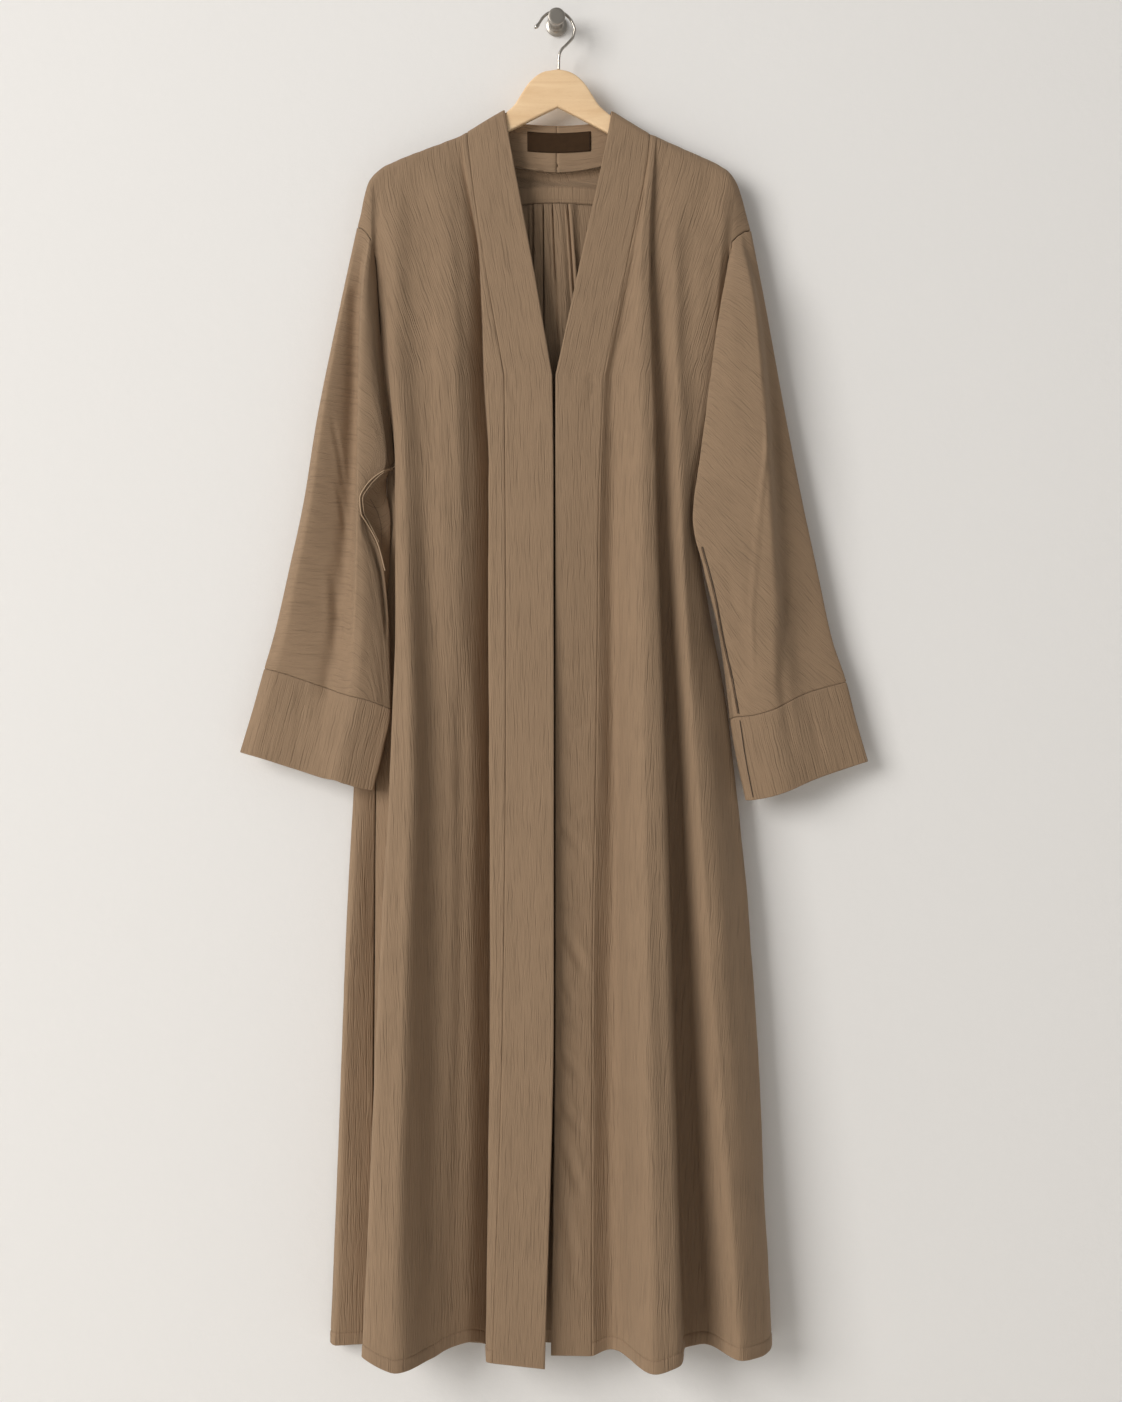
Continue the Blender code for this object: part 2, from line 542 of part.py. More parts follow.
def net_normals(net, facing=None, tube=False):
    """The outward direction at each point of a net.

    facing is the way the outer face looks; a tube's looks away from its middle.
    """
    def slope(values, axis, looped):
        if looped:
            return np.roll(values, -1, axis) - np.roll(values, 1, axis)
        return np.gradient(values, axis=axis)

    normals = np.cross(slope(net, 0, False), slope(net, 1, tube))
    normals /= np.maximum(np.linalg.norm(normals, axis=2, keepdims=True), 1e-9)
    away = net - net.mean(axis=1, keepdims=True) if tube else np.asarray(facing, float)
    return normals if (normals * away).sum() > 0 else -normals


def edge_places(net, tube):
    """The index of each point on the edges of a net."""
    rows, columns = net.shape[:2]
    places = [(i, j) for i in (0, rows - 1) for j in range(columns)]
    if not tube:
        places += [(i, j) for i in range(1, rows - 1) for j in (0, columns - 1)]
    return places


class Panel:
    """A cloth piece: the net of its outer face, its wall and the way it looks."""

    def __init__(self, name, net, wall, facing=None, tube=False, **gaps):
        self.name, self.wall, self.tube, self.gaps = name, wall, tube, gaps
        self.net = np.array(net, float)
        self.normals = net_normals(self.net, facing, tube)
        self.edge = edge_places(self.net, tube)

    def share_normals(self, panels):
        """Leans each edge point's normal to the neighbour's, so that the rims at a seam are parallel."""
        others = [p for p in panels if p is not self]
        points = np.array([p.net[place] for p in others for place in p.edge])
        normals = np.array([p.normals[place] for p in others for place in p.edge])
        shared = self.normals.copy()
        for place in self.edge:
            distances = np.linalg.norm(points - self.net[place], axis=1)
            near = distances < min(distances.min() + SEAM_SLACK, SEAM_REACH)
            if near.any():
                mean = self.normals[place] + normals[near].mean(axis=0)
                shared[place] = mean / np.linalg.norm(mean)
        return shared

    def build(self, normals, material):
        """The closed solid between the outer face and the inner one."""
        outer = drawn_in(self.net, **self.gaps)
        inner = outer - normals * self.wall
        body = bmesh.new()
        faces = [[[body.verts.new(world(place)) for place in row] for row in net] for net in (outer, inner)]
        rows, columns = self.net.shape[:2]
        stops = columns if self.tube else columns - 1
        for near, far in (faces, faces[::-1]):
            order = 1 if near is faces[0] else -1
            for i in range(rows - 1):
                for j in range(stops):
                    k = (j + 1) % columns
                    body.faces.new((near[i][j], near[i + 1][j], near[i + 1][k], near[i][k])[::order])
        front, back = faces
        for i, order in ((0, 1), (rows - 1, -1)):
            for j in range(stops):
                k = (j + 1) % columns
                body.faces.new((front[i][j], front[i][k], back[i][k], back[i][j])[::order])
        if not self.tube:
            for j, order in ((0, -1), (columns - 1, 1)):
                for i in range(rows - 1):
                    body.faces.new((front[i][j], front[i + 1][j], back[i + 1][j], back[i][j])[::order])
        if body.calc_volume(signed=True) < 0:
            bmesh.ops.reverse_faces(body, faces=body.faces)
        mesh = bpy.data.meshes.new(self.name)
        body.to_mesh(mesh)
        body.free()
        mesh.shade_smooth()
        mesh.set_sharp_from_angle(angle=math.radians(SMOOTH_ANGLES["cloth"]))
        return new_object(self.name, mesh, material)


def flat_between(net, xs, drops, lift):
    """Points lifted towards the room from a back piece, at places across it and drops below its top."""
    rows = []
    for drop in drops:
        row = []
        for x in xs:
            line = np.array([[np.interp(x, level[:, 0], level[:, i]) for i in range(3)] for level in net])
            run = running(np.linalg.norm(np.diff(line, axis=0), axis=1))
            place = [np.interp(drop, run, line[:, i]) for i in range(3)]
            row.append((x, place[1] + lift, place[2]))
        rows.append(row)
    return np.array(rows)


def label(edges, material):
    """The woven label lies on the inner face of the back neck band."""
    half = LABEL_SIZE[0] / 2
    xs = np.linspace(LABEL_MIDDLE - half, LABEL_MIDDLE + half, 7)
    drops = np.linspace(LABEL_DROP, LABEL_DROP + LABEL_SIZE[1], 3)
    net = flat_between(edges.transpose(1, 0, 2), xs, drops, FACED_CLOTH + SEAM_GAP + LABEL_WALL)
    panel = Panel("label", net, LABEL_WALL, facing=TO_ROOM)
    return panel.build(panel.normals, material)


def yoke_strip(yoke, material):
    """The strip that covers the yoke seam inside, above the pleats."""
    half = STRIP_SIZE[0] / 2
    xs = np.linspace(-half, half, 15)
    rises = np.linspace(0, STRIP_SIZE[1], 3)
    net = flat_between(yoke[::-1], xs, rises, CLOTH + SEAM_GAP * 1.5 + STRIP_WALL)
    panel = Panel("yoke_seam_strip", net, STRIP_WALL, facing=TO_ROOM)
    return panel.build(panel.normals, material)


def hanger_outline(front_right, front_left):
    """Outline of the hanger, counter-clockwise as it is looked at. Its arms follow the shoulders."""
    def arm(ridge):
        xs = np.linspace(abs(ridge[0][0]) + HANGER_START, HANGER_REACH, 6)
        order = np.argsort(np.abs(ridge[:, 0]))
        heights = np.interp(xs, np.abs(ridge[order, 0]), ridge[order, 2])
        return [(x, z - HANGER_BELOW_CLOTH) for x, z in zip(xs, heights)]

    def half(upper):
        end_x, end_z = upper[-1]
        tip = [(end_x + x, end_z + z) for x, z in HANGER_TIP]
        return upper + tip + [(x - HANGER_TAPER, z - HANGER_ARM) for x, z in upper[-2::-1]]

    middle, half_width, fall = HANGER_ARCH
    arch = [(0, HANGER_ARCH_TOP), (half_width, HANGER_ARCH_TOP - fall)]
    outline = [(middle + x, z) for x, z in arch] + list(HANGER_NECK) + half(arm(front_left[0]))
    outline += HANGER_NOTCH[::-1]
    outline += [(-x, z) for x, z in (list(HANGER_NECK) + half(arm(front_right[0])))[::-1]]
    outline.append((middle - half_width, HANGER_ARCH_TOP - fall))
    return outline


def hanger(front_right, front_left, material):
    """The flat wooden hanger: its outline extruded, with rounded edges."""
    outline = hanger_outline(front_right, front_left)
    body = bmesh.new()
    low = HANGER_MIDDLE - HANGER_THICK / 2
    face = body.faces.new([body.verts.new(world((x, low, z))) for x, z in outline])
    moved = bmesh.ops.extrude_face_region(body, geom=[face])["geom"]
    top = [v for v in moved if isinstance(v, bmesh.types.BMVert)]
    bmesh.ops.translate(body, verts=top, vec=(0, -HANGER_THICK * MM, 0))
    bmesh.ops.recalc_face_normals(body, faces=body.faces)
    mesh = bpy.data.meshes.new("hanger_body")
    body.to_mesh(mesh)
    body.free()
    obj = new_object("hanger_body", mesh, material)
    edge = obj.modifiers.new("Rounded edges", "BEVEL")
    edge.width = HANGER_EDGE * MM
    edge.segments = 2
    edge.limit_method = "ANGLE"
    edge.angle_limit = math.radians(50)
    mesh.shade_smooth()
    return obj


def hook(material):
    """The bent wire hook, with a small bead at its tip."""
    curve = bpy.data.curves.new("hanger_hook", "CURVE")
    curve.dimensions = "3D"
    curve.bevel_depth = HOOK_WIRE * MM
    curve.bevel_resolution = 2
    curve.use_fill_caps = True
    spline = curve.splines.new("POLY")
    spline.points.add(len(HOOK_ROUTE) - 1)
    for i, (x, z) in enumerate(HOOK_ROUTE):
        spline.points[i].co = (*world((x, HANGER_MIDDLE, z)), 1.0)
        spline.points[i].radius = HOOK_TIP[i] if i < len(HOOK_TIP) else 1.0
    obj = bpy.data.objects.new("hanger_hook", curve)
    curve.materials.append(material)
    bpy.context.scene.collection.objects.link(obj)
    return obj


def knob(material):
    """The wall knob, turned about the line straight out of the wall."""
    body = bmesh.new()
    rings = []
    for out, radius in KNOB_PROFILE:
        ring = []
        for i in range(KNOB_SIDES):
            angle = 2 * math.pi * i / KNOB_SIDES
            place = (radius * math.cos(angle), out, radius * math.sin(angle))
            ring.append(body.verts.new(world(place)))
        rings.append(ring)
    for low, high in zip(rings, rings[1:]):
        for i in range(KNOB_SIDES):
            j = (i + 1) % KNOB_SIDES
            body.faces.new((low[i], low[j], high[j], high[i]))
    body.faces.new(rings[0])
    body.faces.new(rings[-1])
    bmesh.ops.recalc_face_normals(body, faces=body.faces)
    mesh = bpy.data.meshes.new("wall_knob")
    body.to_mesh(mesh)
    body.free()
    mesh.shade_smooth()
    mesh.set_sharp_from_angle(angle=math.radians(SMOOTH_ANGLES["turned"]))
    return new_object("wall_knob", mesh, material)


def main():
    """Builds every piece."""
    clear_scene()
    crepe = finish_material("Taupe crepe", (143, 118, 92), 0.85)
    woven = finish_material("Dark woven tape", (54, 38, 26), 0.8)
    beech = finish_material("Pale beech", (227, 193, 151), 0.45)
    steel = finish_material("Brushed nickel", (176, 170, 162), 0.32, 1.0)
    half = SEAM_GAP / 2

    front_right = front_net(RIGHT_FOLDS, RIGHT_HEIGHTS)
    front_left = front_net(LEFT_FOLDS, LEFT_HEIGHTS)
    edges, first, centre, last = band_net()
    yoke = yoke_net(front_right, front_left, edges, first, last)

    underarm_right, underarm_left = underarm_row(RIGHT_HEIGHTS), underarm_row(LEFT_HEIGHTS)
    back = back_net(front_right, front_left, underarm_right, underarm_left)

    right_band, left_band = filled(edges[:centre + 1]), filled(edges[centre:])
    panels = [
        Panel("front_right", front_right, CLOTH, TO_ROOM, top=half, left=half, right=half),
        Panel("front_left", front_left, CLOTH, TO_ROOM, top=half, left=half, right=half),
        Panel("band_right", right_band, FACED_CLOTH, TO_ROOM, bottom=half, right=SEAM_GAP),
        Panel("band_left", left_band, FACED_CLOTH, TO_ROOM, top=half, right=SEAM_GAP),
        Panel("back_yoke", yoke, CLOTH, TO_WALL, top=SHOULDER_GAP, bottom=SEAM_GAP, left=half, right=half),
        Panel("back_panel", back, CLOTH, TO_WALL, top=SEAM_GAP, left=half, right=half),
    ]
    for side, front, row, sleeve, cuff in (
        ("right", front_right, underarm_right, RIGHT_SLEEVE, RIGHT_CUFF),
        ("left", front_left, underarm_left, LEFT_SLEEVE, LEFT_CUFF),
    ):
        front_edge = front[:row + 1, -1]
        yoke_edge = yoke[:, 0 if side == "right" else -1]
        down = np.concatenate([yoke_edge, np.array(BACK_ARMHOLES[side][1:], float), front_edge[-1:]])
        net, join = sleeve_net(sleeve, cuff, front_edge, down[::-1])
        upper = net[:join + 1]
        panels.append(Panel(f"sleeve_{side}", upper, CLOTH, tube=True, top=ARMHOLE_GAP[side], bottom=half))
        panels.append(Panel(f"cuff_{side}", net[join:], FACED_CLOTH, tube=True, top=half))
    for panel in panels:
        panel.build(panel.share_normals(panels), crepe)

    label(edges[first:last + 1], woven)
    yoke_strip(yoke, crepe)
    hanger(front_right, front_left, beech)
    hook(steel)
    knob(steel)


main()
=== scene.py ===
"""An open kimono abaya of crinkled crepe on a wooden hanger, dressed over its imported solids.

Tables are in millimetres, as (x, out, z): x to the right as the garment is looked at, out from the
wall, z up from the middle of the wall knob's base. The garment's own right side is at -x.
"""
from __future__ import annotations

import json
import logging
import math
from dataclasses import dataclass, field
from enum import Enum
from typing import Sequence

import bmesh
import bpy
import numpy as np
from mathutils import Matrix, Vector

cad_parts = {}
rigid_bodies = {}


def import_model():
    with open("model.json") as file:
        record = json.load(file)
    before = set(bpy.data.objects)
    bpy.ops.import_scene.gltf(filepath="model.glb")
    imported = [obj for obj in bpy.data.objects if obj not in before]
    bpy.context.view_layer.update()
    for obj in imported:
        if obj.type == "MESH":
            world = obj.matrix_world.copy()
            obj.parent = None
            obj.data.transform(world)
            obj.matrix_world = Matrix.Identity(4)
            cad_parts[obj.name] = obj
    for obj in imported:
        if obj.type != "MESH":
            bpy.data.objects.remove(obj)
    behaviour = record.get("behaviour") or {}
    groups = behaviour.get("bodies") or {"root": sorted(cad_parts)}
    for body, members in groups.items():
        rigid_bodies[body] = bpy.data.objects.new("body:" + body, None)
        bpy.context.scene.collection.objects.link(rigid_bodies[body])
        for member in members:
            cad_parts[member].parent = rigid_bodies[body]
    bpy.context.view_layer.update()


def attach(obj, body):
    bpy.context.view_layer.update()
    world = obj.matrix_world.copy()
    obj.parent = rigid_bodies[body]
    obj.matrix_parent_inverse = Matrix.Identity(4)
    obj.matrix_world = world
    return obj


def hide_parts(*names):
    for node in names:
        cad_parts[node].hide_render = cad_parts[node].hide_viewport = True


LOG = logging.getLogger("abaya")

MM = 0.001
Place = tuple[float, float, float]
Spot = tuple[float, float]
Colour = tuple[int, int, int]
Net = np.ndarray

PHOTO_WIDTH = 1122
FOCAL_PIXELS = 2280.0
SENSOR_WIDTH = 36.0
CAMERA_PLACE = (0.0053, -2.75, -0.8138)

# the widest spaces between points, down and across the pieces
LEVEL_STEP = 6.5
SLEEVE_STEP = 4.875
NECK_STEP = 3.0
FOLD_STEP = 3.2
BACK_STEP = FOLD_STEP * 1.2
PLEAT_STEP = 1.3
TUBE_STEP = 2.4

# close points beside a seam edge and round a hem's turn-up, as distances from the edge
EDGE_STOPS = (0.5, 1.1, 1.9, 3.0)
HEM_STOPS = (0.5, 1.2, 2.4, 5.0, 9.5, 13.2, 14.3, 15.0, 15.7, 16.8)

# the way over the hanger in degrees and as marks down a front, and the levels that count from there
SHOULDER_TURNS = (0, 30, 60)
SHOULDER_MARKS = (0, 4, 9, 14)
ZERO_HEIGHT_MARK = -136
VEE_MARK = 5
UNDERARM_MARK = 6
ROWS_ABOVE_UNDERARM = 38
SHARP_FOLDS = 2

# sewing: how far a seam looks for cloth, the thinnest cord, the hem, and each edge's (reach, drop)
SEAM_REACH = 2.6
CORD_RADIUS = 0.5
HEM_DEPTH = 15.0
HEM_RISE, HEM_DIP = 0.45, 0.75
ROLLED, SOFTENED = (2.4, 1.3), (1.2, 0.5)

# the random rise and fall of the cloth: its fade beside edges and its cells across and along the crinkles
EDGE_FADE = 14.0
DRIFT_CELL, WANDER_CELL, CRINKLE_CELL, FINE_CELL = (21, 150), (40, 45), (8, 48), (13, 22)
LATTICE_SIZE = 256
BODY_WALL, BAND_WALL = 1.0, 2.0

BAND_RIGHT = (
    # level, inner (x, out, z), outer (x, out, z)
    ("hem", (-13.5, 86, -1595), (-75, 86, -1588)),
    ("knee", (-3, 75, -1165), (-63, 73, -1165)),
    ("hip", (-3, 67, -836), (-60, 65, -836)),
    ("elbow", (-3.4, 62, -693), (-60, 60, -693)),
    ("underarm", (-3.6, 58, -537), (-61, 56, -537)),
    ("vee", (-5, 54, -428), (-62, 52, -428)),
    ("chest", (-29, 49, -290), (-86, 47, -290)),
    ("brow", (-61, 39, -116), (-106, 39, -144)),
    ("ridge", (-62.7, 30, -108.5), (-107, 30, -135)),
)
BAND_BACK = (
    ("behind right", (-60.5, 21.6, -117), (-105, 21.6, -143.5)),
    ("back right", (-44, 16, -121.5), (-66, 16, -170)),
    ("centre", (0.5, 14, -124), (0.5, 15.5, -180.5)),
    ("back left", (46, 16, -121.5), (69, 16, -170)),
    ("behind left", (63, 21.6, -118), (109, 21.6, -145.5)),
)
BAND_LEFT = (
    ("ridge", (66, 30, -109.5), (111, 30, -137)),
    ("brow", (64.6, 39, -117), (110.5, 39, -146)),
    ("chest", (28.5, 48, -290), (85, 46, -290)),
    ("vee", (-1.2, 53, -428), (56, 50, -428)),
    ("underarm", (-1.6, 56, -592), (50, 51, -592)),
    ("elbow", (-1.7, 57, -717), (49, 51, -717)),
    ("hip", (-1.7, 57, -836), (47.5, 51, -836)),
    ("knee", (-1.7, 60, -1165), (42.5, 53, -1165)),
    ("hem", (-6.4, 68, -1584), (42, 60, -1587)),
)
RIGHT_HEIGHTS = (-290, -428, -537, -693, -836, -1165)
RIGHT_FOLDS = (
    # fold, ridge, brow, then (x, out) at chest, vee, underarm, elbow, hip, knee, then hem
    ("seam", (-107, 30, -135), (-106, 39, -144), (-86, 47), (-62, 52), (-61, 56), (-60, 60),
     (-60, 65), (-63, 73), (-75, 86, -1588)),
    ("strip edge", (-112, 30, -138), (-111, 39.2, -147), (-91, 46), (-86, 50), (-80, 53.5), (-80, 57),
     (-79, 61.5), (-78, 69.5), (-82, 82, -1587)),
    ("strip foot", (-112.5, 30, -138.5), (-112.5, 38.6, -147.5), (-92, 31), (-87, 20), (-81, 19), (-81, 19),
     (-80, 19), (-79.5, 20), (-84, 26, -1583)),
    ("deep valley", (-118, 30, -141), (-118, 38.6, -150), (-107, 43), (-106, 41), (-100, 40),
     (-100, 40), (-99, 40), (-99, 41), (-104, 47, -1574)),
    ("middle crest", (-139, 30, -149), (-138, 39.2, -157.5), (-133, 48), (-128, 49), (-122, 49.5),
     (-121, 49), (-121, 49), (-122, 50), (-127, 59, -1578)),
    ("hollow", (-168, 30, -160), (-168, 39, -169), (-170, 44), (-162, 47), (-156, 49),
     (-152, 51), (-148, 54), (-145, 58), (-148, 76, -1586)),
    ("side crest", (-192, 30, -169.5), (-191, 39, -179), (-192, 49), (-190, 54), (-180, 58),
     (-177, 68), (-175, 76), (-181, 96), (-187, 116, -1591)),
    ("side edge", (-210, 30, -179), (-208, 39, -189), (-203, 45), (-198, 49), (-191, 50),
     (-190, 60), (-194, 68), (-208, 86), (-226, 101, -1576)),
    ("tuck", (-224, 30, -193), (-219, 39, -204), (-209, 37), (-200, 41), (-189, 42), (-187, 30),
     (-187, 28), (-195, 34), (-207, 42, -1581)),
    ("side seam", (-238, 30, -249), (-221, 39, -265), (-216, 32), (-206, 34), (-193, 32),
     (-204, 18), (-216, 13), (-219, 14), (-222, 17, -1584)),
)
LEFT_HEIGHTS = (-290, -428, -592, -717, -836, -1165)
LEFT_FOLDS = (
    ("seam", (111, 30, -137), (110.5, 39, -146), (85, 46), (56, 50), (50, 51), (49, 51),
     (47.5, 51), (42.5, 53), (42, 60, -1587)),
    ("trough", (113, 30, -138), (112, 39, -146.6), (90, 44.5), (66, 44), (65, 42.5), (65, 42.5),
     (65, 42), (62, 42), (64, 48, -1582)),
    ("main crest", (115.5, 30, -139), (114, 39.8, -147.5), (101, 53), (102, 60), (102, 68), (103, 75),
     (104, 82), (107, 99), (115, 117, -1592)),
    ("crest edge", (118, 30, -140), (117, 39.6, -148.6), (109.5, 51), (113.5, 57), (117, 63.5), (120.5, 69.5),
     (124.5, 76), (132, 90), (144, 105, -1585)),
    ("fold root", (122, 30, -142), (119.5, 38.4, -150), (113, 38), (118, 37), (121.5, 36), (125, 35),
     (130, 34), (142, 34), (155, 36, -1583)),
    ("fold floor", (132, 30, -146.5), (128, 38.6, -154), (121, 40), (126, 39), (131, 40), (135, 39),
     (141, 38), (155, 38), (176, 40, -1578)),
    ("outer crest", (165, 30, -161), (162, 39, -170), (142, 48), (143, 54), (147, 59), (153, 63),
     (162, 68), (187, 80), (216, 93, -1583)),
    ("shallow", (185, 30, -170), (182, 39, -180), (170, 43), (167, 45), (156, 52), (166, 51),
     (179, 56), (209, 66), (239, 77, -1583)),
    ("side edge", (204, 30, -181), (202, 39, -193), (193, 44), (182, 44), (160, 47), (177, 40),
     (195, 40), (226, 48), (253, 56, -1580)),
    ("tuck", (216, 30, -197), (211, 39, -214), (200, 39), (188, 41), (164, 43), (184, 28),
     (205, 28), (236, 32), (256, 36, -1579)),
    ("side seam", (232, 30, -253), (208, 39, -269), (205, 34), (194, 36), (167, 36), (185, 18),
     (203, 17), (233, 17), (252, 19, -1584)),
)
YOKE_OUT = 12.0
YOKE_ROUND = 9.0
YOKE_SEAM = ((-216, -282), (-150, -246), (-70, -222), (0, -218), (70, -222), (150, -247), (206, -288))
BACK_HEIGHTS = (-428, -565, -705, -836, -1165, -1578)
BACK_FOLDS = (
    # fold, (x, out) at the yoke seam, vee, underarm, elbow, hip, knee, hem
    ("right roll", (-212, 13.5), (-204, 16), (-199, 20), (-216, 14), (-230, 13.5), (-250, 24), (-264, 26)),
    ("right turn", (-208, 12), (-203, 13), (-203, 14), (-223, 12), (-238, 12), (-255, 12), (-271, 12)),
    ("right fold", (-186, 9), (-186, 9), (-186, 9), (-198, 8), (-210, 8), (-225, 8), (-238, 8)),
    ("right swell", (-150, 13), (-150, 14), (-150, 15), (-156, 15), (-160, 15), (-172, 16), (-182, 17)),
    ("right dip", (-112, 9), (-112, 9), (-112, 8), (-113, 8), (-115, 8), (-122, 8), (-128, 8)),
    ("right near", (-70, 13), (-70, 14), (-70, 14), (-70, 14), (-72, 14), (-75, 15), (-78, 16)),
    ("pleat 1 root", (-34, 13), (-35, 15), (-36, 15), (-37, 12), (-38, 11), (-39, 11), (-40, 10)),
    ("pleat 1", (-25, 16), (-25, 25), (-25, 23), (-25, 16), (-26, 13.5), (-27, 13), (-28, 13)),
    ("pleat 2 root", (-17, 14.5), (-17, 23.5), (-17, 22), (-17, 14), (-17, 12), (-17, 11), (-18, 11)),
    ("pleat 2", (-11, 16.5), (-9, 26), (-8, 24), (-7, 16), (-7, 13.5), (-6, 13), (-6, 13)),
    ("pleat 3 root", (-6.5, 15), (-1, 24.5), (3, 23), (3, 14.5), (3, 12), (4, 11), (4, 11)),
    ("pleat 3", (3, 17), (12, 26), (12, 24), (12, 16), (12, 13.5), (12, 13), (13, 13)),
    ("pleat 4 root", (11, 14.5), (20, 23), (20, 22), (20, 14), (20, 12), (21, 11), (22, 11)),
    ("pleat 4", (17, 16), (26, 23), (27, 22), (29, 15), (29, 13.5), (31, 13), (33, 13)),
    ("left root", (26, 13), (36, 15), (38, 15), (40, 12), (42, 11), (46, 11), (50, 10)),
    ("left near", (70, 13), (70, 14), (70, 14), (76, 14), (80, 14), (88, 15), (98, 16)),
    ("left dip", (112, 9), (112, 9), (104, 8), (110, 8), (118, 8), (132, 8), (150, 8)),
    ("left swell", (150, 13), (148, 14), (136, 14), (144, 14), (156, 13), (182, 13), (204, 13)),
    ("left fold", (184, 9), (178, 9), (156, 10), (168, 9), (186, 8), (214, 8), (236, 8)),
    ("left turn", (200, 12), (190, 13), (167, 16), (182, 10), (200, 10), (230, 10), (248, 10)),
)
BACK_ARMHOLES = {
    "right": ((-216, 14, -282), (-206, 18, -428)),
    "left": ((206, 14, -288), (193, 19, -428)),
}
# distances from the armhole: its seam, five levels, the cuff seam, halfway down the cuff and its opening
SLEEVE_MARKS = (0, 80, 200, 300, 375, 465, 530, 580, 630)
CUFF_SEAM = 530
CUFF_CLEAR = 3.4
ARMHOLE_STOPS = 1600
RIGHT_SLEEVE = (
    # line, its start round the armhole, then its places at the levels of SLEEVE_MARKS after the first
    ("outer", 0.0, (-258, 30, -341), (-286, 30, -478), (-302, 29, -577), (-318, 28, -651),
     (-337, 28, -734), (-349, 28, -775), (-363, 28, -825), (-378, 28, -875)),
    ("bulge", 0.02, (-253, 40, -343), (-277, 47, -479), (-291, 48, -579), (-305, 46, -653),
     (-321, 43, -738), (-332, 41, -779), (-345, 40, -829), (-359, 38, -880)),
    ("soft valley", 0.045, (-238.5, 37, -349), (-242, 35, -480), (-246, 35, -584), (-253, 36, -658),
     (-264, 37, -748.5), (-275, 39.5, -798), (-293, 39, -846), (-308, 37.5, -896)),
    ("riser foot", 0.07, (-235.5, 43, -351), (-237.5, 43, -485), (-238.5, 45, -588), (-241.5, 47, -662),
     (-248, 47, -752), (-255, 48, -805), (-265, 47, -855), (-275, 45, -906)),
    ("crease", 0.08, (-231.5, 57, -354), (-234.5, 61, -487), (-235, 61, -590), (-236, 61, -664),
     (-240, 58, -753), (-244, 55, -808), (-252, 53.5, -857), (-262, 50, -908)),
    ("plateau", 0.1, (-227, 57.5, -360), (-228, 61.5, -492), (-232.5, 61, -589), (-230, 61, -664),
     (-233, 58.5, -756), (-235, 55, -810), (-244, 53, -860), (-255, 49.5, -911)),
    ("chest", 0.16, (-219, 54, -374), (-213, 59.5, -508), (-230.5, 59, -589), (-222, 59, -664),
     (-222, 56, -759), (-223, 53, -813), (-235, 51, -863), (-248, 48, -913)),
    ("inner", 0.45, (-210, 46, -432), (-201, 54, -528), (-229, 55, -587), (-213, 54, -658),
     (-207, 51, -752), (-207, 48, -819), (-218, 46, -869), (-231, 43, -918)),
    ("underarm seam", 0.97, (-203, 39, -541), (-220, 47, -554), (-231.5, 50, -581), (-207, 49, -642),
     (-198, 45, -737), (-197, 43, -823), (-206, 41, -871), (-218, 38, -920)),
    ("under layer", 1.03, (-203, 33, -548), (-212, 35, -562), (-216, 35, -590), (-203, 35, -648),
     (-204, 31, -740), (-205, 30, -823), (-212, 30, -871), (-223, 29, -920)),
    ("under edge", 1.08, (-203, 27, -545), (-203, 28, -563), (-198, 29, -600), (-199.5, 28, -655),
     (-209, 25, -740), (-213, 24, -821), (-222, 24, -870), (-232, 24, -919)),
    ("back inner", 1.45, (-222, 17, -450), (-228, 17, -512), (-232, 18, -584), (-236, 20, -662),
     (-237, 20, -752), (-236, 20, -812), (-249, 20, -861), (-262, 20, -910)),
    ("back", 1.85, (-240, 15, -352), (-256, 14, -476), (-266, 14, -578), (-276, 15, -656),
     (-285, 16, -746), (-293, 17, -793), (-306, 17, -843), (-320, 17, -892)),
)
LEFT_SLEEVE = (
    ("outer", 0.0, (249, 30, -341), (274, 30, -478), (294, 29, -579), (311, 28, -657),
     (329, 28, -740), (346, 28, -791), (358, 28, -838), (372, 28, -886)),
    ("soft valley", 0.03, (242, 42, -347), (259, 41, -486), (272, 40, -589), (282, 40, -681),
     (289, 39.5, -753), (299, 39, -804), (309, 40, -856), (320, 38, -902)),
    ("crease", 0.05, (232, 57, -339), (243, 64, -476), (250, 66, -600), (254, 64, -682),
     (255, 60, -759), (254, 54, -825), (262, 53, -875), (269, 50, -923)),
    ("chest", 0.075, (213, 58, -354), (212, 63, -488), (208, 64, -612), (219, 62, -694),
     (231, 57, -771), (231, 51, -831), (239, 50, -881), (248, 47, -929)),
    ("fold edge", 0.12, (193, 55, -358), (175, 56, -490), (161, 57, -597), (175, 54, -660),
     (196, 50, -741), (212, 44, -833), (219, 45, -883), (229, 42, -932)),
    ("under fold", 0.5, (184, 51, -450), (172, 52.5, -541), (164, 53.5, -602), (174, 50, -656),
     (193, 46, -737), (207, 40.5, -835), (215, 40, -884), (225, 38, -932)),
    ("underarm seam", 0.97, (170, 43, -595), (169, 48, -600), (168, 50, -607), (177, 49, -653),
     (195, 45, -735), (206, 36, -836), (214, 36, -884), (225, 34, -932)),
    ("under edge", 1.08, (173, 34, -592), (176, 36, -600), (180, 37, -617), (189, 36, -663),
     (205, 34, -740), (214, 29, -835), (223, 28, -884), (235, 27, -931)),
    ("back inner", 1.5, (214, 18, -441), (217, 20, -489), (225, 22, -591), (231, 24, -680),
     (243, 22, -758), (249, 21, -826), (258, 21, -875), (267, 21, -924)),
    ("back", 1.85, (232, 15, -354), (253, 14, -482), (268, 15, -584), (278, 16, -674),
     (290, 17, -750), (299, 18, -806), (309, 18, -857), (320, 18, -904)),
)


class Way(Enum):
    """The two ways that an open cloth piece's outer face can look."""

    ROOM = (0.0, 1.0, 0.0)
    WALL = (0.0, -1.0, 0.0)


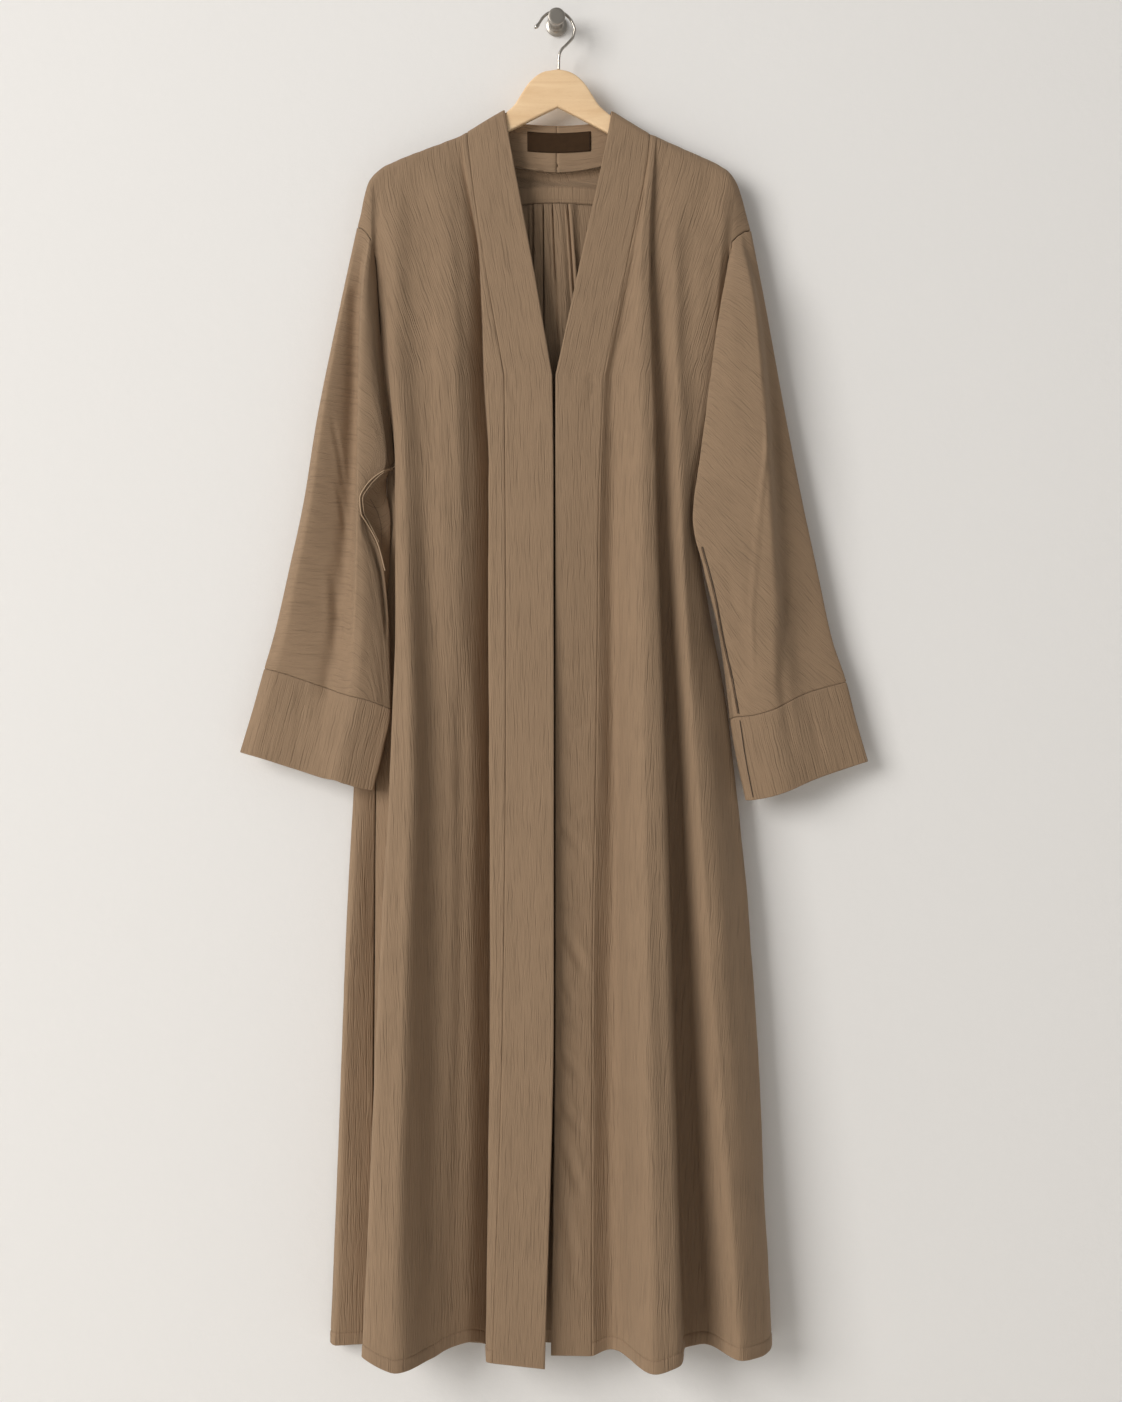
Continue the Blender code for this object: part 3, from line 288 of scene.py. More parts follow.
class Edge(Enum):
    """The edges of a net, as (row or column axis, first or last)."""

    TOP = (0, 0)
    BOTTOM = (0, -1)
    LEFT = (1, 0)
    RIGHT = (1, -1)


def smooth_through(marks: np.ndarray, values: np.ndarray, at: np.ndarray) -> np.ndarray:
    """Values on a smooth curve through the given ones, with no swing past a high or low one.

    Args:
        marks: Rising positions of the given values.
        values: The given values, one for each mark along the first axis.
        at: The positions that are asked for.

    Returns:
        The curve's values at those positions.
    """
    marks = np.asarray(marks, float)
    values = np.asarray(values, float)
    shape = (-1,) + (1,) * (values.ndim - 1)
    spans = np.diff(marks).reshape(shape)
    rises = np.diff(values, axis=0) / spans
    slopes = np.empty_like(values)
    slopes[0] = rises[0]
    slopes[-1] = rises[-1]
    before, after = rises[:-1], rises[1:]
    same_way = before * after > 0
    safe = np.where(same_way, before + after, 1.0)
    slopes[1:-1] = np.where(same_way, 2 * before * after / safe, 0.0)
    at = np.asarray(at, float)
    piece = np.clip(np.searchsorted(marks, at, side="right") - 1, 0, len(marks) - 2)
    span = spans[piece]
    t = (at - marks[piece]).reshape(shape) / span
    start, end = values[piece], values[piece + 1]
    return (
        start * (2 * t**3 - 3 * t**2 + 1)
        + slopes[piece] * span * (t**3 - 2 * t**2 + t)
        + end * (3 * t**2 - 2 * t**3)
        + slopes[piece + 1] * span * (t**3 - t**2)
    )


def cornered(marks: np.ndarray, values: np.ndarray, at: np.ndarray, corner: int) -> np.ndarray:
    """As smooth_through, with a sharp turn at one mark.

    Args:
        marks: Rising positions of the given values.
        values: The given values.
        at: The positions that are asked for.
        corner: Which mark has the turn.

    Returns:
        The curve's values at those positions.
    """
    before = at <= marks[corner]
    return np.concatenate([
        smooth_through(marks[:corner + 1], values[:corner + 1], at[before]),
        smooth_through(marks[corner:], values[corner:], at[~before]),
    ])


def divided(marks: np.ndarray, step: float, first: tuple[float, ...] = (),
            last: tuple[float, ...] = ()) -> np.ndarray:
    """The marks with even stops between them.

    Args:
        marks: Rising positions that are all kept.
        step: The widest space between stops.
        first: Distances after the first mark that also get a stop.
        last: Distances before the last mark that also get a stop.

    Returns:
        The stops in rising order.
    """
    stops = [float(marks[0])]
    for low, high in zip(marks, marks[1:]):
        count = max(1, math.ceil((high - low) / step - 0.25))
        stops += [low + (high - low) * i / count for i in range(1, count + 1)]
    extra = [marks[0] + d for d in first] + [marks[-1] - d for d in last]
    ends = (marks[0], marks[-1])
    kept = [s for s in stops if s in ends or all(abs(s - e) > 0.4 for e in extra)]
    return np.array(sorted(kept + extra))


def running(lengths: np.ndarray) -> np.ndarray:
    """Marks at 0 and after each length."""
    return np.concatenate([[0.0], np.cumsum(lengths)])


def spread(lines: Net) -> np.ndarray:
    """Marks across the lines, from the mean distance between neighbours."""
    return running(np.linalg.norm(np.diff(lines, axis=0), axis=2).mean(axis=1))


def along(path: np.ndarray, shares: np.ndarray) -> np.ndarray:
    """Points at these shares of the path's length.

    Args:
        path: Places in order.
        shares: From 0 at its start to 1 at its end.

    Returns:
        The points.
    """
    path = np.asarray(path, float)
    run = running(np.linalg.norm(np.diff(path, axis=0), axis=1))
    return np.stack([np.interp(np.asarray(shares) * run[-1], run, path[:, i]) for i in range(3)], axis=-1)


def across(lines: Net, step: float = FOLD_STEP, first: tuple[float, ...] = EDGE_STOPS,
           last: tuple[float, ...] = EDGE_STOPS) -> Net:
    """Rows of points on the smooth surface across fold lines.

    Args:
        lines: Fold lines that already have all their rows.
        step: The widest space between points in a row.
        first: Distances from the first line that also get points.
        last: Distances from the last line that also get points.

    Returns:
        The net, rows first.
    """
    marks = spread(lines)
    return smooth_through(marks, lines, divided(marks, step, first, last)).transpose(1, 0, 2)


def around(lines: Net, step: float = TUBE_STEP) -> Net:
    """As across, for lines that go right round a tube.

    Args:
        lines: Fold lines in order round the tube.
        step: The widest space between points in a ring.

    Returns:
        The net, rings first.
    """
    looped = np.concatenate([lines[-2:], lines, lines[:3]])
    marks = spread(looped)
    stops = divided(marks[2:-2], step)[:-1]
    return smooth_through(marks, looped, stops).transpose(1, 0, 2)


def rounded(ridge: Place, brow: Place, turn: float) -> Place:
    """A place on the cloth's way over the hanger, this many degrees from the ridge to the brow.

    Args:
        ridge: The highest place.
        brow: Where the cloth hangs down again.
        turn: From 0 at the ridge to 90 at the brow.

    Returns:
        The place.
    """
    angle = math.radians(turn)
    along_out, down = math.sin(angle), 1 - math.cos(angle)
    shares = ((along_out + down) / 2, along_out, down)
    return tuple(a + (b - a) * share for a, b, share in zip(ridge, brow, shares))


def front_lines(folds: tuple, heights: tuple[float, ...]) -> Net:
    """The fold lines of one front at every level, rounded over the shoulder.

    Args:
        folds: Rows of the front's table.
        heights: The table's levels, from the chest down.

    Returns:
        A line for each fold, with a place for each level mark.
    """
    lines = []
    for fold in folds:
        ridge, brow, *between, hem = fold[1:]
        over = [rounded(ridge, brow, turn) for turn in SHOULDER_TURNS]
        middle = [(x, out, z) for (x, out), z in zip(between, heights)]
        lines.append(over + [brow] + middle + [hem])
    return np.array(lines, float)


def level_marks(heights: tuple[float, ...], hem: float = -1585.0) -> np.ndarray:
    """Marks down a front: three rows over the shoulder, the brow, the levels and the hem."""
    return np.array([*SHOULDER_MARKS, *(ZERO_HEIGHT_MARK - z for z in (*heights, hem))], float)


def front_rows(heights: tuple[float, ...]) -> np.ndarray:
    """The rows down a front, with close ones at the shoulder seam and the hem."""
    return divided(level_marks(heights), LEVEL_STEP, first=EDGE_STOPS[:2], last=HEM_STOPS)


def front_net(folds: tuple, heights: tuple[float, ...]) -> Net:
    """Rows of points of one front.

    Args:
        folds: Rows of the front's table.
        heights: The table's levels, from the chest down.

    Returns:
        The net, rows first.
    """
    levels = front_lines(folds, heights).transpose(1, 0, 2)
    marks, stops = level_marks(heights), front_rows(heights)
    rows = smooth_through(marks, levels, stops)
    sharp = slice(0, SHARP_FOLDS)
    rows[:, sharp] = cornered(marks, levels[:, sharp], stops, VEE_MARK)
    return across(rows.transpose(1, 0, 2))


def band_lines(levels: tuple, heights: tuple[float, ...]) -> Net:
    """Inner and outer edge of one front band, from the shoulder to the hem.

    Args:
        levels: Rows of the band's table, from the shoulder down.
        heights: The levels of the front that it is sewn to.

    Returns:
        Both edges' places, row by row.
    """
    edges = []
    for edge in (1, 2):
        ridge, brow, *rest, hem = [level[edge] for level in levels]
        edges.append(("band", ridge, brow) + tuple((x, out) for x, out, _ in rest) + (hem,))
    lines = front_lines(edges, heights)
    return cornered(level_marks(heights), lines.transpose(1, 0, 2), front_rows(heights), VEE_MARK)


def band_net() -> tuple[Net, int, int, int]:
    """The whole band from the right hem round the neck to the left hem.

    Returns:
        Its two edges row by row, and the rows of the right shoulder, the centre back and the left shoulder.
    """
    right = band_lines(BAND_RIGHT[::-1], RIGHT_HEIGHTS)
    left = band_lines(BAND_LEFT, LEFT_HEIGHTS)
    corners = [level[1:] for level in (BAND_RIGHT[-1], *BAND_BACK, BAND_LEFT[0])]
    over_right, over_left = (
        [[rounded(ridge, behind, turn) for ridge, behind in zip(top, back)] for turn in SHOULDER_TURNS]
        for top, back in ((corners[0], corners[1]), (corners[-1], corners[-2]))
    )
    corners = np.array(over_right + corners[1:-1] + over_left[::-1], float)
    marks = running(np.linalg.norm(np.diff(corners, axis=0), axis=2).mean(axis=1))
    neck = smooth_through(marks, corners, divided(marks, NECK_STEP))
    edges = np.concatenate([right[::-1], neck[1:-1], left])
    first = len(right) - 1
    last = first + len(neck) - 1
    return edges, first, (first + last) // 2, last


def seam_height(x: float) -> float:
    """Height of the yoke seam at this place across the back."""
    xs, zs = zip(*YOKE_SEAM)
    return float(smooth_through(xs, np.array(zs, float)[:, None], [x])[0, 0])


def yoke_net(front_right: Net, front_left: Net, edges: Net, first: int, last: int) -> Net:
    """The yoke hangs behind the shoulder seams and the neck band, down to its seam.

    Args:
        front_right: The right front, whose shoulder seam it shares.
        front_left: The left front, whose shoulder seam it shares.
        edges: The band's two edges.
        first: The band's row at the right shoulder.
        last: The band's row at the left shoulder.

    Returns:
        The net, rows first.
    """
    top = np.concatenate([front_right[0][::-1], edges[first + 1:last, 1], front_left[0]])
    columns = []
    for x, out, z in top:
        seam_x = min(max(x, YOKE_SEAM[0][0]), YOKE_SEAM[-1][0])
        seam = (seam_x, YOKE_OUT, seam_height(seam_x))
        behind = (x + (seam_x - x) * 0.2, YOKE_OUT + (out - YOKE_OUT) * 0.5, z - YOKE_ROUND)
        column = [rounded((x, out, z), behind, turn) for turn in (*SHOULDER_TURNS, 90)]
        column += [tuple(a + (b - a) * share for a, b in zip(behind, seam)) for share in (0.3, 0.65, 1.0)]
        columns.append(column)
    rows = np.array(columns).transpose(1, 0, 2)
    marks = spread(rows)
    return smooth_through(marks, rows, divided(marks, LEVEL_STEP, EDGE_STOPS[:2], EDGE_STOPS))


def back_net(front_right: Net, front_left: Net, under_right: int, under_left: int, upper: int) -> Net:
    """The back skirt from the yoke seam to the hem.

    Args:
        front_right: The right front, whose side seam it shares.
        front_left: The left front, whose side seam it shares.
        under_right: The right front's row at the underarm.
        under_left: The left front's row at the underarm.
        upper: How many rows lie above the underarm.

    Returns:
        The net, rows first.
    """
    shares = np.linspace(0, 1, upper + 1)[:-1]
    edges = []
    for side, front, row in (("right", front_right, under_right), ("left", front_left, under_left)):
        armhole = np.concatenate([np.array(BACK_ARMHOLES[side], float), front[row:row + 1, -1]])
        edges.append(np.concatenate([along(armhole, shares), front[row:, -1]]))
    rows = min(len(edge) for edge in edges)
    right, left = (along_rows(edge, upper, rows) for edge in edges)
    columns = [right]
    for fold in BACK_FOLDS:
        places = np.array(fold[1:], float)
        top = seam_height(places[0, 0])
        heights = np.array([-z for z in (top, *BACK_HEIGHTS)])
        way = (places[0, 0] - right[0, 0]) / (left[0, 0] - right[0, 0])
        level = -(right[:, 2] + (left[:, 2] - right[:, 2]) * way)
        under = level[upper]
        level[:upper] = -top + (under + top) * shares
        found = smooth_through(heights, places, np.clip(level, heights[0], None))
        columns.append(np.stack([found[:, 0], found[:, 1], -level], axis=-1))
    columns.append(left)
    lines = np.array(columns)
    marks = spread(lines)
    names = [fold[0] for fold in BACK_FOLDS]
    first, last = (names.index(name) + 1 for name in ("pleat 1 root", "left root"))
    wide = divided(marks, BACK_STEP, EDGE_STOPS, EDGE_STOPS)
    outside = (wide < marks[first]) | (wide > marks[last])
    stops = np.sort(np.concatenate([wide[outside], divided(marks[first:last + 1], PLEAT_STEP)]))
    return smooth_through(marks, lines, stops).transpose(1, 0, 2)


def along_rows(edge: Net, upper: int, rows: int) -> Net:
    """A side edge of the back with its lower part brought to this many rows in all.

    Args:
        edge: The edge's places, from the yoke seam down.
        upper: Rows above the underarm, which stay.
        rows: How many rows it has in all.

    Returns:
        The edge with that many rows.
    """
    lower = edge[upper:]
    wanted = rows - upper
    if len(lower) == wanted:
        return edge
    shares = np.linspace(0, 1, wanted)
    picked = np.interp(shares, np.linspace(0, 1, len(lower)), np.arange(len(lower)))
    low = np.floor(picked).astype(int)
    high = np.minimum(low + 1, len(lower) - 1)
    part = (picked - low)[:, None]
    return np.concatenate([edge[:upper], lower[low] * (1 - part) + lower[high] * part])


def sleeve_net(sleeve: tuple, front_edge: Net, back_edge: Net) -> tuple[Net, int]:
    """Rings of points from the armhole to the sleeve's opening.

    Args:
        sleeve: Rows of the sleeve's table.
        front_edge: The armhole along the front, from the shoulder to the underarm.
        back_edge: The armhole along the back, from the underarm to the shoulder.

    Returns:
        The rings, and the row of the cuff seam.
    """
    lines = np.array([row[2:] for row in sleeve], float)
    starts = [row[1] for row in sleeve]
    seam = np.array([
        along(front_edge, [s])[0] if s <= 1 else along(back_edge, [s - 1])[0] for s in starts
    ])
    lines = np.concatenate([seam[:, None], lines], axis=1)
    stops = divided(SLEEVE_MARKS, SLEEVE_STEP, EDGE_STOPS, EDGE_STOPS)
    beside = [CUFF_SEAM + side * d for side in (-1, 1) for d in EDGE_STOPS]
    stops = np.unique(np.concatenate([stops[np.abs(stops - CUFF_SEAM) > CUFF_CLEAR], beside, [CUFF_SEAM]]))
    rows = smooth_through(SLEEVE_MARKS, lines.transpose(1, 0, 2), stops)
    net = around(rows.transpose(1, 0, 2))
    hole = np.concatenate([along(edge, np.linspace(0, 1, ARMHOLE_STOPS)) for edge in (front_edge, back_edge)])
    net[0] = [hole[np.argmin(np.linalg.norm(hole - place, axis=1))] for place in net[0]]
    return net, int(np.argmin(np.abs(stops - CUFF_SEAM)))


def lattice(u: np.ndarray, v: np.ndarray, cell: Spot, seed: int) -> np.ndarray:
    """Smooth random height, from -1 to 1, with cells of this size along u and v.

    Args:
        u: Distances across.
        v: Distances down.
        cell: The cells' size along each.
        seed: The pattern's own number.

    Returns:
        The heights.
    """
    rng = np.random.default_rng(seed)
    size = LATTICE_SIZE
    table = rng.uniform(-1, 1, (size, size))
    a, b = u / cell[0] + 2.0 * size, v / cell[1] + 2.0 * size
    i, j = np.floor(a).astype(int), np.floor(b).astype(int)
    s, t = a - i, b - j
    s, t = s * s * (3 - 2 * s), t * t * (3 - 2 * t)
    corner = [table[(i + di) % size, (j + dj) % size] for di in (0, 1) for dj in (0, 1)]
    return (corner[0] * (1 - s) + corner[2] * s) * (1 - t) + (corner[1] * (1 - s) + corner[3] * s) * t


@dataclass(frozen=True)
class Crease:
    """A soft trough across the cloth, or with a negative depth a ridge.

    The path's places are (x, z) as looked at from the room.
    """

    path: tuple[Spot, ...]
    width: float
    depth: float
    lip: float = 0.35
    sharp_ends: bool = False

    def drop(self, x: np.ndarray, z: np.ndarray) -> np.ndarray:
        """How far each point sinks into the cloth.

        Args:
            x: The points' places across.
            z: The points' heights.

        Returns:
            The depths, below 0 on a ridge.
        """
        points = np.stack([x, z], axis=-1)
        path = np.asarray(self.path, float)
        lengths = np.linalg.norm(np.diff(path, axis=0), axis=1)
        run = running(lengths)
        best = np.full(x.shape, 1e9)
        share = np.zeros(x.shape)
        for start, end, low, size in zip(path, path[1:], run, lengths):
            way = (end - start) / size
            t = np.clip(((points - start) * way).sum(axis=-1), 0, size)
            away = np.linalg.norm(points - start - t[..., None] * way, axis=-1)
            closer = away < best
            best = np.where(closer, away, best)
            share = np.where(closer, (low + t) / run[-1], share)
        near = best / self.width
        profile = np.exp(-near**2) - self.lip * np.exp(-((near - 1.9) ** 2) * 1.6)
        if self.sharp_ends:
            return self.depth * profile
        taper = np.clip(np.minimum(share, 1 - share) * 3.2 + 0.08, 0, 1)
        return self.depth * profile * taper * taper * (3 - 2 * taper)


RIGHT_FRONT_CREASES = (
    Crease(((-150, -200), (-152, -330), (-150, -520), (-143, -760)), 9, 1.6),
    Crease(((-130, -190), (-124, -300), (-118, -450), (-112, -640)), 6, -1.2),
    Crease(((-182, -230), (-181, -380), (-176, -560)), 8, -1.3),
    Crease(((-160, -520), (-148, -800), (-140, -1100), (-142, -1400)), 10, 1.7),
    Crease(((-170, -640), (-168, -900), (-172, -1200)), 8, -1.4),
    Crease(((-116, -700), (-113, -980), (-116, -1250), (-118, -1500)), 6, 1.3),
    Crease(((-185, -900), (-190, -1200), (-196, -1500)), 9, 1.3),
    Crease(((-72, -480), (-70, -800), (-70, -1200)), 3.5, 0.6),
    Crease(((-166, -1250), (-172, -1420), (-176, -1570)), 9, 1.4),
)
LEFT_FRONT_CREASES = (
    Crease(((150, -200), (153, -330), (150, -480)), 8, 1.4),
    Crease(((176, -200), (174, -330), (168, -470)), 9, -1.3),
    Crease(((132, -180), (133, -320), (136, -450), (140, -600)), 6, 1.1),
    Crease(((84, -520), (82, -760), (84, -1050), (90, -1350)), 8, -1.4),
    Crease(((72, -620), (68, -900), (72, -1200), (78, -1480)), 7, 1.4),
    Crease(((150, -640), (165, -860), (190, -1160), (208, -1400)), 8, 1.5),
    Crease(((172, -760), (192, -980), (214, -1240), (230, -1500)), 9, -1.5),
    Crease(((186, -900), (206, -1120), (228, -1380)), 7, 1.3),
    Crease(((112, -900), (118, -1120), (126, -1380)), 6, 1.2),
)
NECK_CREASES = (
    Crease(((0.5, -122), (0.5, -178)), 0.9, -0.7, lip=0.0, sharp_ends=True),
    Crease(((-64, -163), (-30, -171.5), (0.5, -174), (34, -171.5), (66, -163)), 1.5, -1.5, lip=0.6,
           sharp_ends=True),
    Crease(((-52, -174), (-34, -176), (-14, -178)), 1.3, 2.4, lip=0.0),
)
RIGHT_BAND_CREASES = NECK_CREASES + (
    Crease(((-62, -431), (-54, -437), (-42, -440)), 2.2, 1.9),
    Crease(((-61, -442), (-52, -450), (-44, -472)), 3.0, 1.2),
    Crease(((-58, -418), (-50, -426), (-46, -436)), 2.4, -0.8),
)
LEFT_BAND_CREASES = NECK_CREASES + (
    Crease(((55, -430), (44, -434), (30, -438), (14, -437)), 2.4, 2.0),
    Crease(((53, -441), (42, -450), (34, -468)), 3.2, 1.6),
    Crease(((46, -414), (36, -424), (26, -440)), 2.6, -0.9),
    Crease(((28, -404), (20, -424), (16, -444)), 2.6, 0.8),
    Crease(((4, -764), (22, -770), (38, -768)), 3.6, 1.7),
    Crease(((10, -800), (26, -804), (44, -800)), 4.0, 1.6),
    Crease(((4, -842), (22, -846), (42, -838)), 4.2, 2.0),
    Crease(((8, -872), (24, -880), (40, -892)), 4.0, 1.4),
    Crease(((2, -935), (18, -944), (38, -938)), 4.2, 1.9),
    Crease(((-2, -958), (16, -976), (36, -994)), 4.8, 2.6),
    Crease(((6, -1012), (20, -1020), (36, -1018)), 3.8, 1.3),
    Crease(((0, -1052), (16, -1062), (36, -1066)), 4.2, 2.2),
    Crease(((0, -1082), (18, -1104), (36, -1138)), 5.4, 3.2),
    Crease(((-2, -1130), (8, -1150), (22, -1172)), 4.6, 1.8),
    Crease(((-2, -1180), (14, -1192), (34, -1200)), 4.6, 2.5),
    Crease(((-2, -1222), (14, -1244), (34, -1262)), 5.0, 3.0),
    Crease(((-2, -1282), (16, -1306), (34, -1324)), 5.2, 3.0),
    Crease(((2, -1330), (14, -1352), (30, -1400)), 5.4, 2.6),
    Crease(((4, -1400), (14, -1440), (22, -1490)), 6.0, 2.0),
    Crease(((12, -1476), (22, -1500), (34, -1512)), 4.6, 1.4),
)
YOKE_CREASES = (
    Crease(((-70, -180), (-30, -186), (0, -188), (34, -186), (74, -180)), 7, 7.5, lip=0.0, sharp_ends=True),
)
PLEAT_CREASES = (
    Crease(((-28.5, -214), (-29, -330), (-30, -470), (-32, -700)), 1.5, 3.6, lip=0.35, sharp_ends=True),
    Crease(((-15.8, -214), (-15.5, -320), (-15, -470), (-16, -700)), 1.3, 4.0, lip=0.35, sharp_ends=True),
    Crease(((-5, -214), (-2, -290), (4, -400), (6, -700)), 1.3, 4.0, lip=0.35, sharp_ends=True),
    Crease(((13, -214), (18, -280), (26, -400), (30, -700)), 1.5, 3.6, lip=0.35, sharp_ends=True),
)
BACK_CREASES = (
    Crease(((-140, -330), (-136, -620), (-142, -980)), 11, 1.8),
    Crease(((-96, -300), (-92, -560), (-98, -860), (-104, -1250)), 9, -1.6),
    Crease(((-190, -520), (-206, -820), (-222, -1200)), 10, 1.6),
    Crease(((-54, -420), (-56, -760), (-60, -1200)), 8, 1.3),
    Crease(((58, -300), (60, -640), (68, -1050)), 9, 1.5),
    Crease(((96, -340), (100, -700), (112, -1080), (124, -1450)), 9, -1.6),
    Crease(((132, -420), (142, -760), (166, -1150)), 11, 1.7),
    Crease(((178, -560), (196, -860), (222, -1300)), 10, 1.5),
    Crease(((-160, -900), (-170, -1250), (-176, -1520)), 10, -1.7),
)
RIGHT_SLEEVE_CREASES = (
    Crease(((-239, -330), (-241, -400), (-243, -470), (-246, -540), (-252, -622), (-262, -717), (-275, -800)),
           8, 3.5, lip=0.0, sharp_ends=True),
    Crease(((-224, -612), (-214, -636), (-207.5, -662), (-203, -700), (-201, -745)), 2.4, 5.5, lip=0.0),
    Crease(((-268, -470), (-258, -520), (-252, -575)), 2.6, 1.1),
    Crease(((-262, -545), (-254, -590), (-250, -625)), 2.6, 1.0),
    Crease(((-262, -700), (-254, -735), (-250, -770)), 3.0, 1.0),
    Crease(((-268, -640), (-262, -720), (-262, -786)), 5, 1.4),
    Crease(((-236, -700), (-246, -790), (-258, -880)), 6, 1.2),
    Crease(((-300, -800), (-306, -850), (-316, -884)), 5, 0.9),
    Crease(((-272, -812), (-280, -856), (-292, -890)), 5, 1.0),
)
LEFT_SLEEVE_CREASES = (
    Crease(((247, -420), (247, -520), (237, -610), (230, -710), (234, -800)), 2.2, -1.9, lip=0.2),
    Crease(((258, -440), (266, -600), (276, -715), (286, -790)), 9, 4.0, lip=0.0),
    Crease(((276, -640), (272, -740), (270, -808)), 5, 1.4),
    Crease(((262, -700), (266, -790), (284, -900)), 5, 1.3),
    Crease(((196, -640), (214, -720), (228, -790)), 6, 0.9),
    Crease(((300, -820), (310, -860), (318, -894)), 5, 0.9),
)


def net_normals(net: Net, way: Way | None, tube: bool) -> Net:
    """The outward direction at each point of a net.

    Args:
        net: Rows of points.
        way: The way an open piece's outer face looks. A tube's looks away from its middle.
        tube: Whether the columns go right round.

    Returns:
        Unit vectors, one for each point.
    """
    down = np.gradient(net, axis=0)
    over = np.roll(net, -1, 1) - np.roll(net, 1, 1) if tube else np.gradient(net, axis=1)
    normals = np.cross(down, over)
    normals /= np.maximum(np.linalg.norm(normals, axis=2, keepdims=True), 1e-9)
    away = net - net.mean(axis=1, keepdims=True) if way is None else np.asarray(way.value)
    return normals if (normals * away).sum() > 0 else -normals


@dataclass
class Shell:
    """A cloth piece's outer face, and what turns it into a sewn piece with a wall."""

    name: str
    net: Net
    wall: float = BODY_WALL
    way: Way | None = Way.ROOM
    rolled: tuple[Edge, ...] = ()
    soft_edges: tuple[Edge, ...] = ()
    turn: float = 0.0
    drift: float = 0.8
    crinkle: float = 0.3
    creases: tuple[Crease, ...] = ()
    back_creases: tuple[Crease, ...] = ()
    hem: bool = False
    seed: int = 1
    normals: Net = field(init=False, repr=False)
    runs: tuple[np.ndarray, np.ndarray] = field(init=False, repr=False)

    def __post_init__(self) -> None:
        """Works out the piece's own measures, then shapes its face."""
        self.net = np.array(self.net, float)
        self.runs = self.measured()
        self.normals = net_normals(self.net, self.way, self.tube)
        self.shape()

    @property
    def tube(self) -> bool:
        """Whether the piece goes right round."""
        return self.way is None

    def measured(self) -> tuple[np.ndarray, np.ndarray]:
        """Distances along the cloth, across and down, in millimetres.

        Returns:
            The two sets of distances.
        """
        over = np.linalg.norm(np.diff(self.net, axis=1), axis=2)
        down = np.linalg.norm(np.diff(self.net, axis=0), axis=2)
        u = np.concatenate([np.zeros((len(self.net), 1)), np.cumsum(over, axis=1)], axis=1)
        v = np.concatenate([np.zeros((1, self.net.shape[1])), np.cumsum(down, axis=0)], axis=0)
        return u, v

    def weave_places(self) -> tuple[np.ndarray, np.ndarray]:
        """The distances turned so that the second runs along the crinkles."""
        u, v = self.runs
        angle = math.radians(self.turn)
        return u * math.cos(angle) + v * math.sin(angle), v * math.cos(angle) - u * math.sin(angle)

    def from_edge(self, edge: Edge) -> np.ndarray:
        """Each point's distance along the cloth from an edge.

        Args:
            edge: One of the net's edges.

        Returns:
            The distances, in millimetres.
        """
        axis, end = edge.value
        run = self.runs[1] if axis == 0 else self.runs[0]
        if end == 0:
            return run
        last = run[-1:, :] if axis == 0 else run[:, -1:]
        return last - run

    def shape(self) -> None:
        """Moves the face: drift, crinkles, creases, the hem's turn-up and the rolled seam edges."""
        a, b = self.weave_places()
        inside = np.ones(a.shape)
        for edge in Edge:
            if self.tube and edge.value[0] == 1:
                continue
            inside = np.minimum(inside, np.clip(self.from_edge(edge) / EDGE_FADE, 0, 1))
        inside = inside * inside * (3 - 2 * inside)
        push = self.drift * lattice(a, b, DRIFT_CELL, self.seed) * inside
        wandered = a + 5 * lattice(a, b, WANDER_CELL, self.seed + 7)
        push += self.crinkle * lattice(wandered, b, CRINKLE_CELL, self.seed + 1)
        push += 0.5 * self.crinkle * lattice(a, b, FINE_CELL, self.seed + 2)
        if self.tube:
            push *= np.clip(self.tube_fade(), 0, 1)
        x, z = self.net[..., 0], self.net[..., 2]
        room = self.normals[..., 1]
        for creases, side in ((self.creases, 1), (self.back_creases, -1)):
            seen = np.clip(side * room * 3, 0, 1) if self.tube else side * np.sign(self.mean_way())
            for crease in creases:
                push -= crease.drop(x, z) * seen
        if self.hem:
            up = self.from_edge(Edge.BOTTOM)
            push += HEM_RISE * np.clip((HEM_DEPTH - up) / 0.8 + 0.5, 0, 1)
            push -= HEM_DIP * np.exp(-(((up - HEM_DEPTH) / 1.1) ** 2))
        edges = [(edge, *ROLLED) for edge in self.rolled] + [(edge, *SOFTENED) for edge in self.soft_edges]
        for edge, reach, drop in edges:
            near = np.clip(1 - self.from_edge(edge) / reach, 0, 1)
            push -= drop * (1 - np.sqrt(np.clip(1 - near**2, 0, 1)))
        self.net = self.net + self.normals * push[..., None]
        self.normals = net_normals(self.net, self.way, self.tube)

    def tube_fade(self) -> np.ndarray:
        """Less random movement where a tube's columns meet, so that the pattern closes.

        Returns:
            The share of the movement that stays at each point, above 1 far from the meeting line.
        """
        u = self.runs[0]
        whole = u[:, -1:] + 1e-6
        near = np.minimum(u, whole - u)
        return near / 12.0 + 0.05

    def mean_way(self) -> float:
        """Above 0 where an open piece looks to the room."""
        return float(self.normals[..., 1].mean())

    def area(self) -> float:
        """The face's area in square metres.

        Returns:
            The area of the outer face alone.
        """
        net = self.net
        if self.tube:
            net = np.concatenate([net, net[:, :1]], axis=1)
        one, two = net[1:, 1:] - net[:-1, :-1], net[1:, :-1] - net[:-1, 1:]
        return float(np.linalg.norm(np.cross(one, two), axis=2).sum() / 2 * MM * MM)

    def wrapped(self) -> tuple[np.ndarray, np.ndarray, np.ndarray]:
        """The closed piece between the outer face and the inner one.

        Returns:
            Its points, its four-sided faces, and each face corner's row and column in the net.
        """
        rows, columns = self.net.shape[:2]
        size = rows * columns
        inner = self.net - self.normals * self.wall
        points = np.concatenate([self.net.reshape(-1, 3), inner.reshape(-1, 3)])
        stops = columns if self.tube else columns - 1

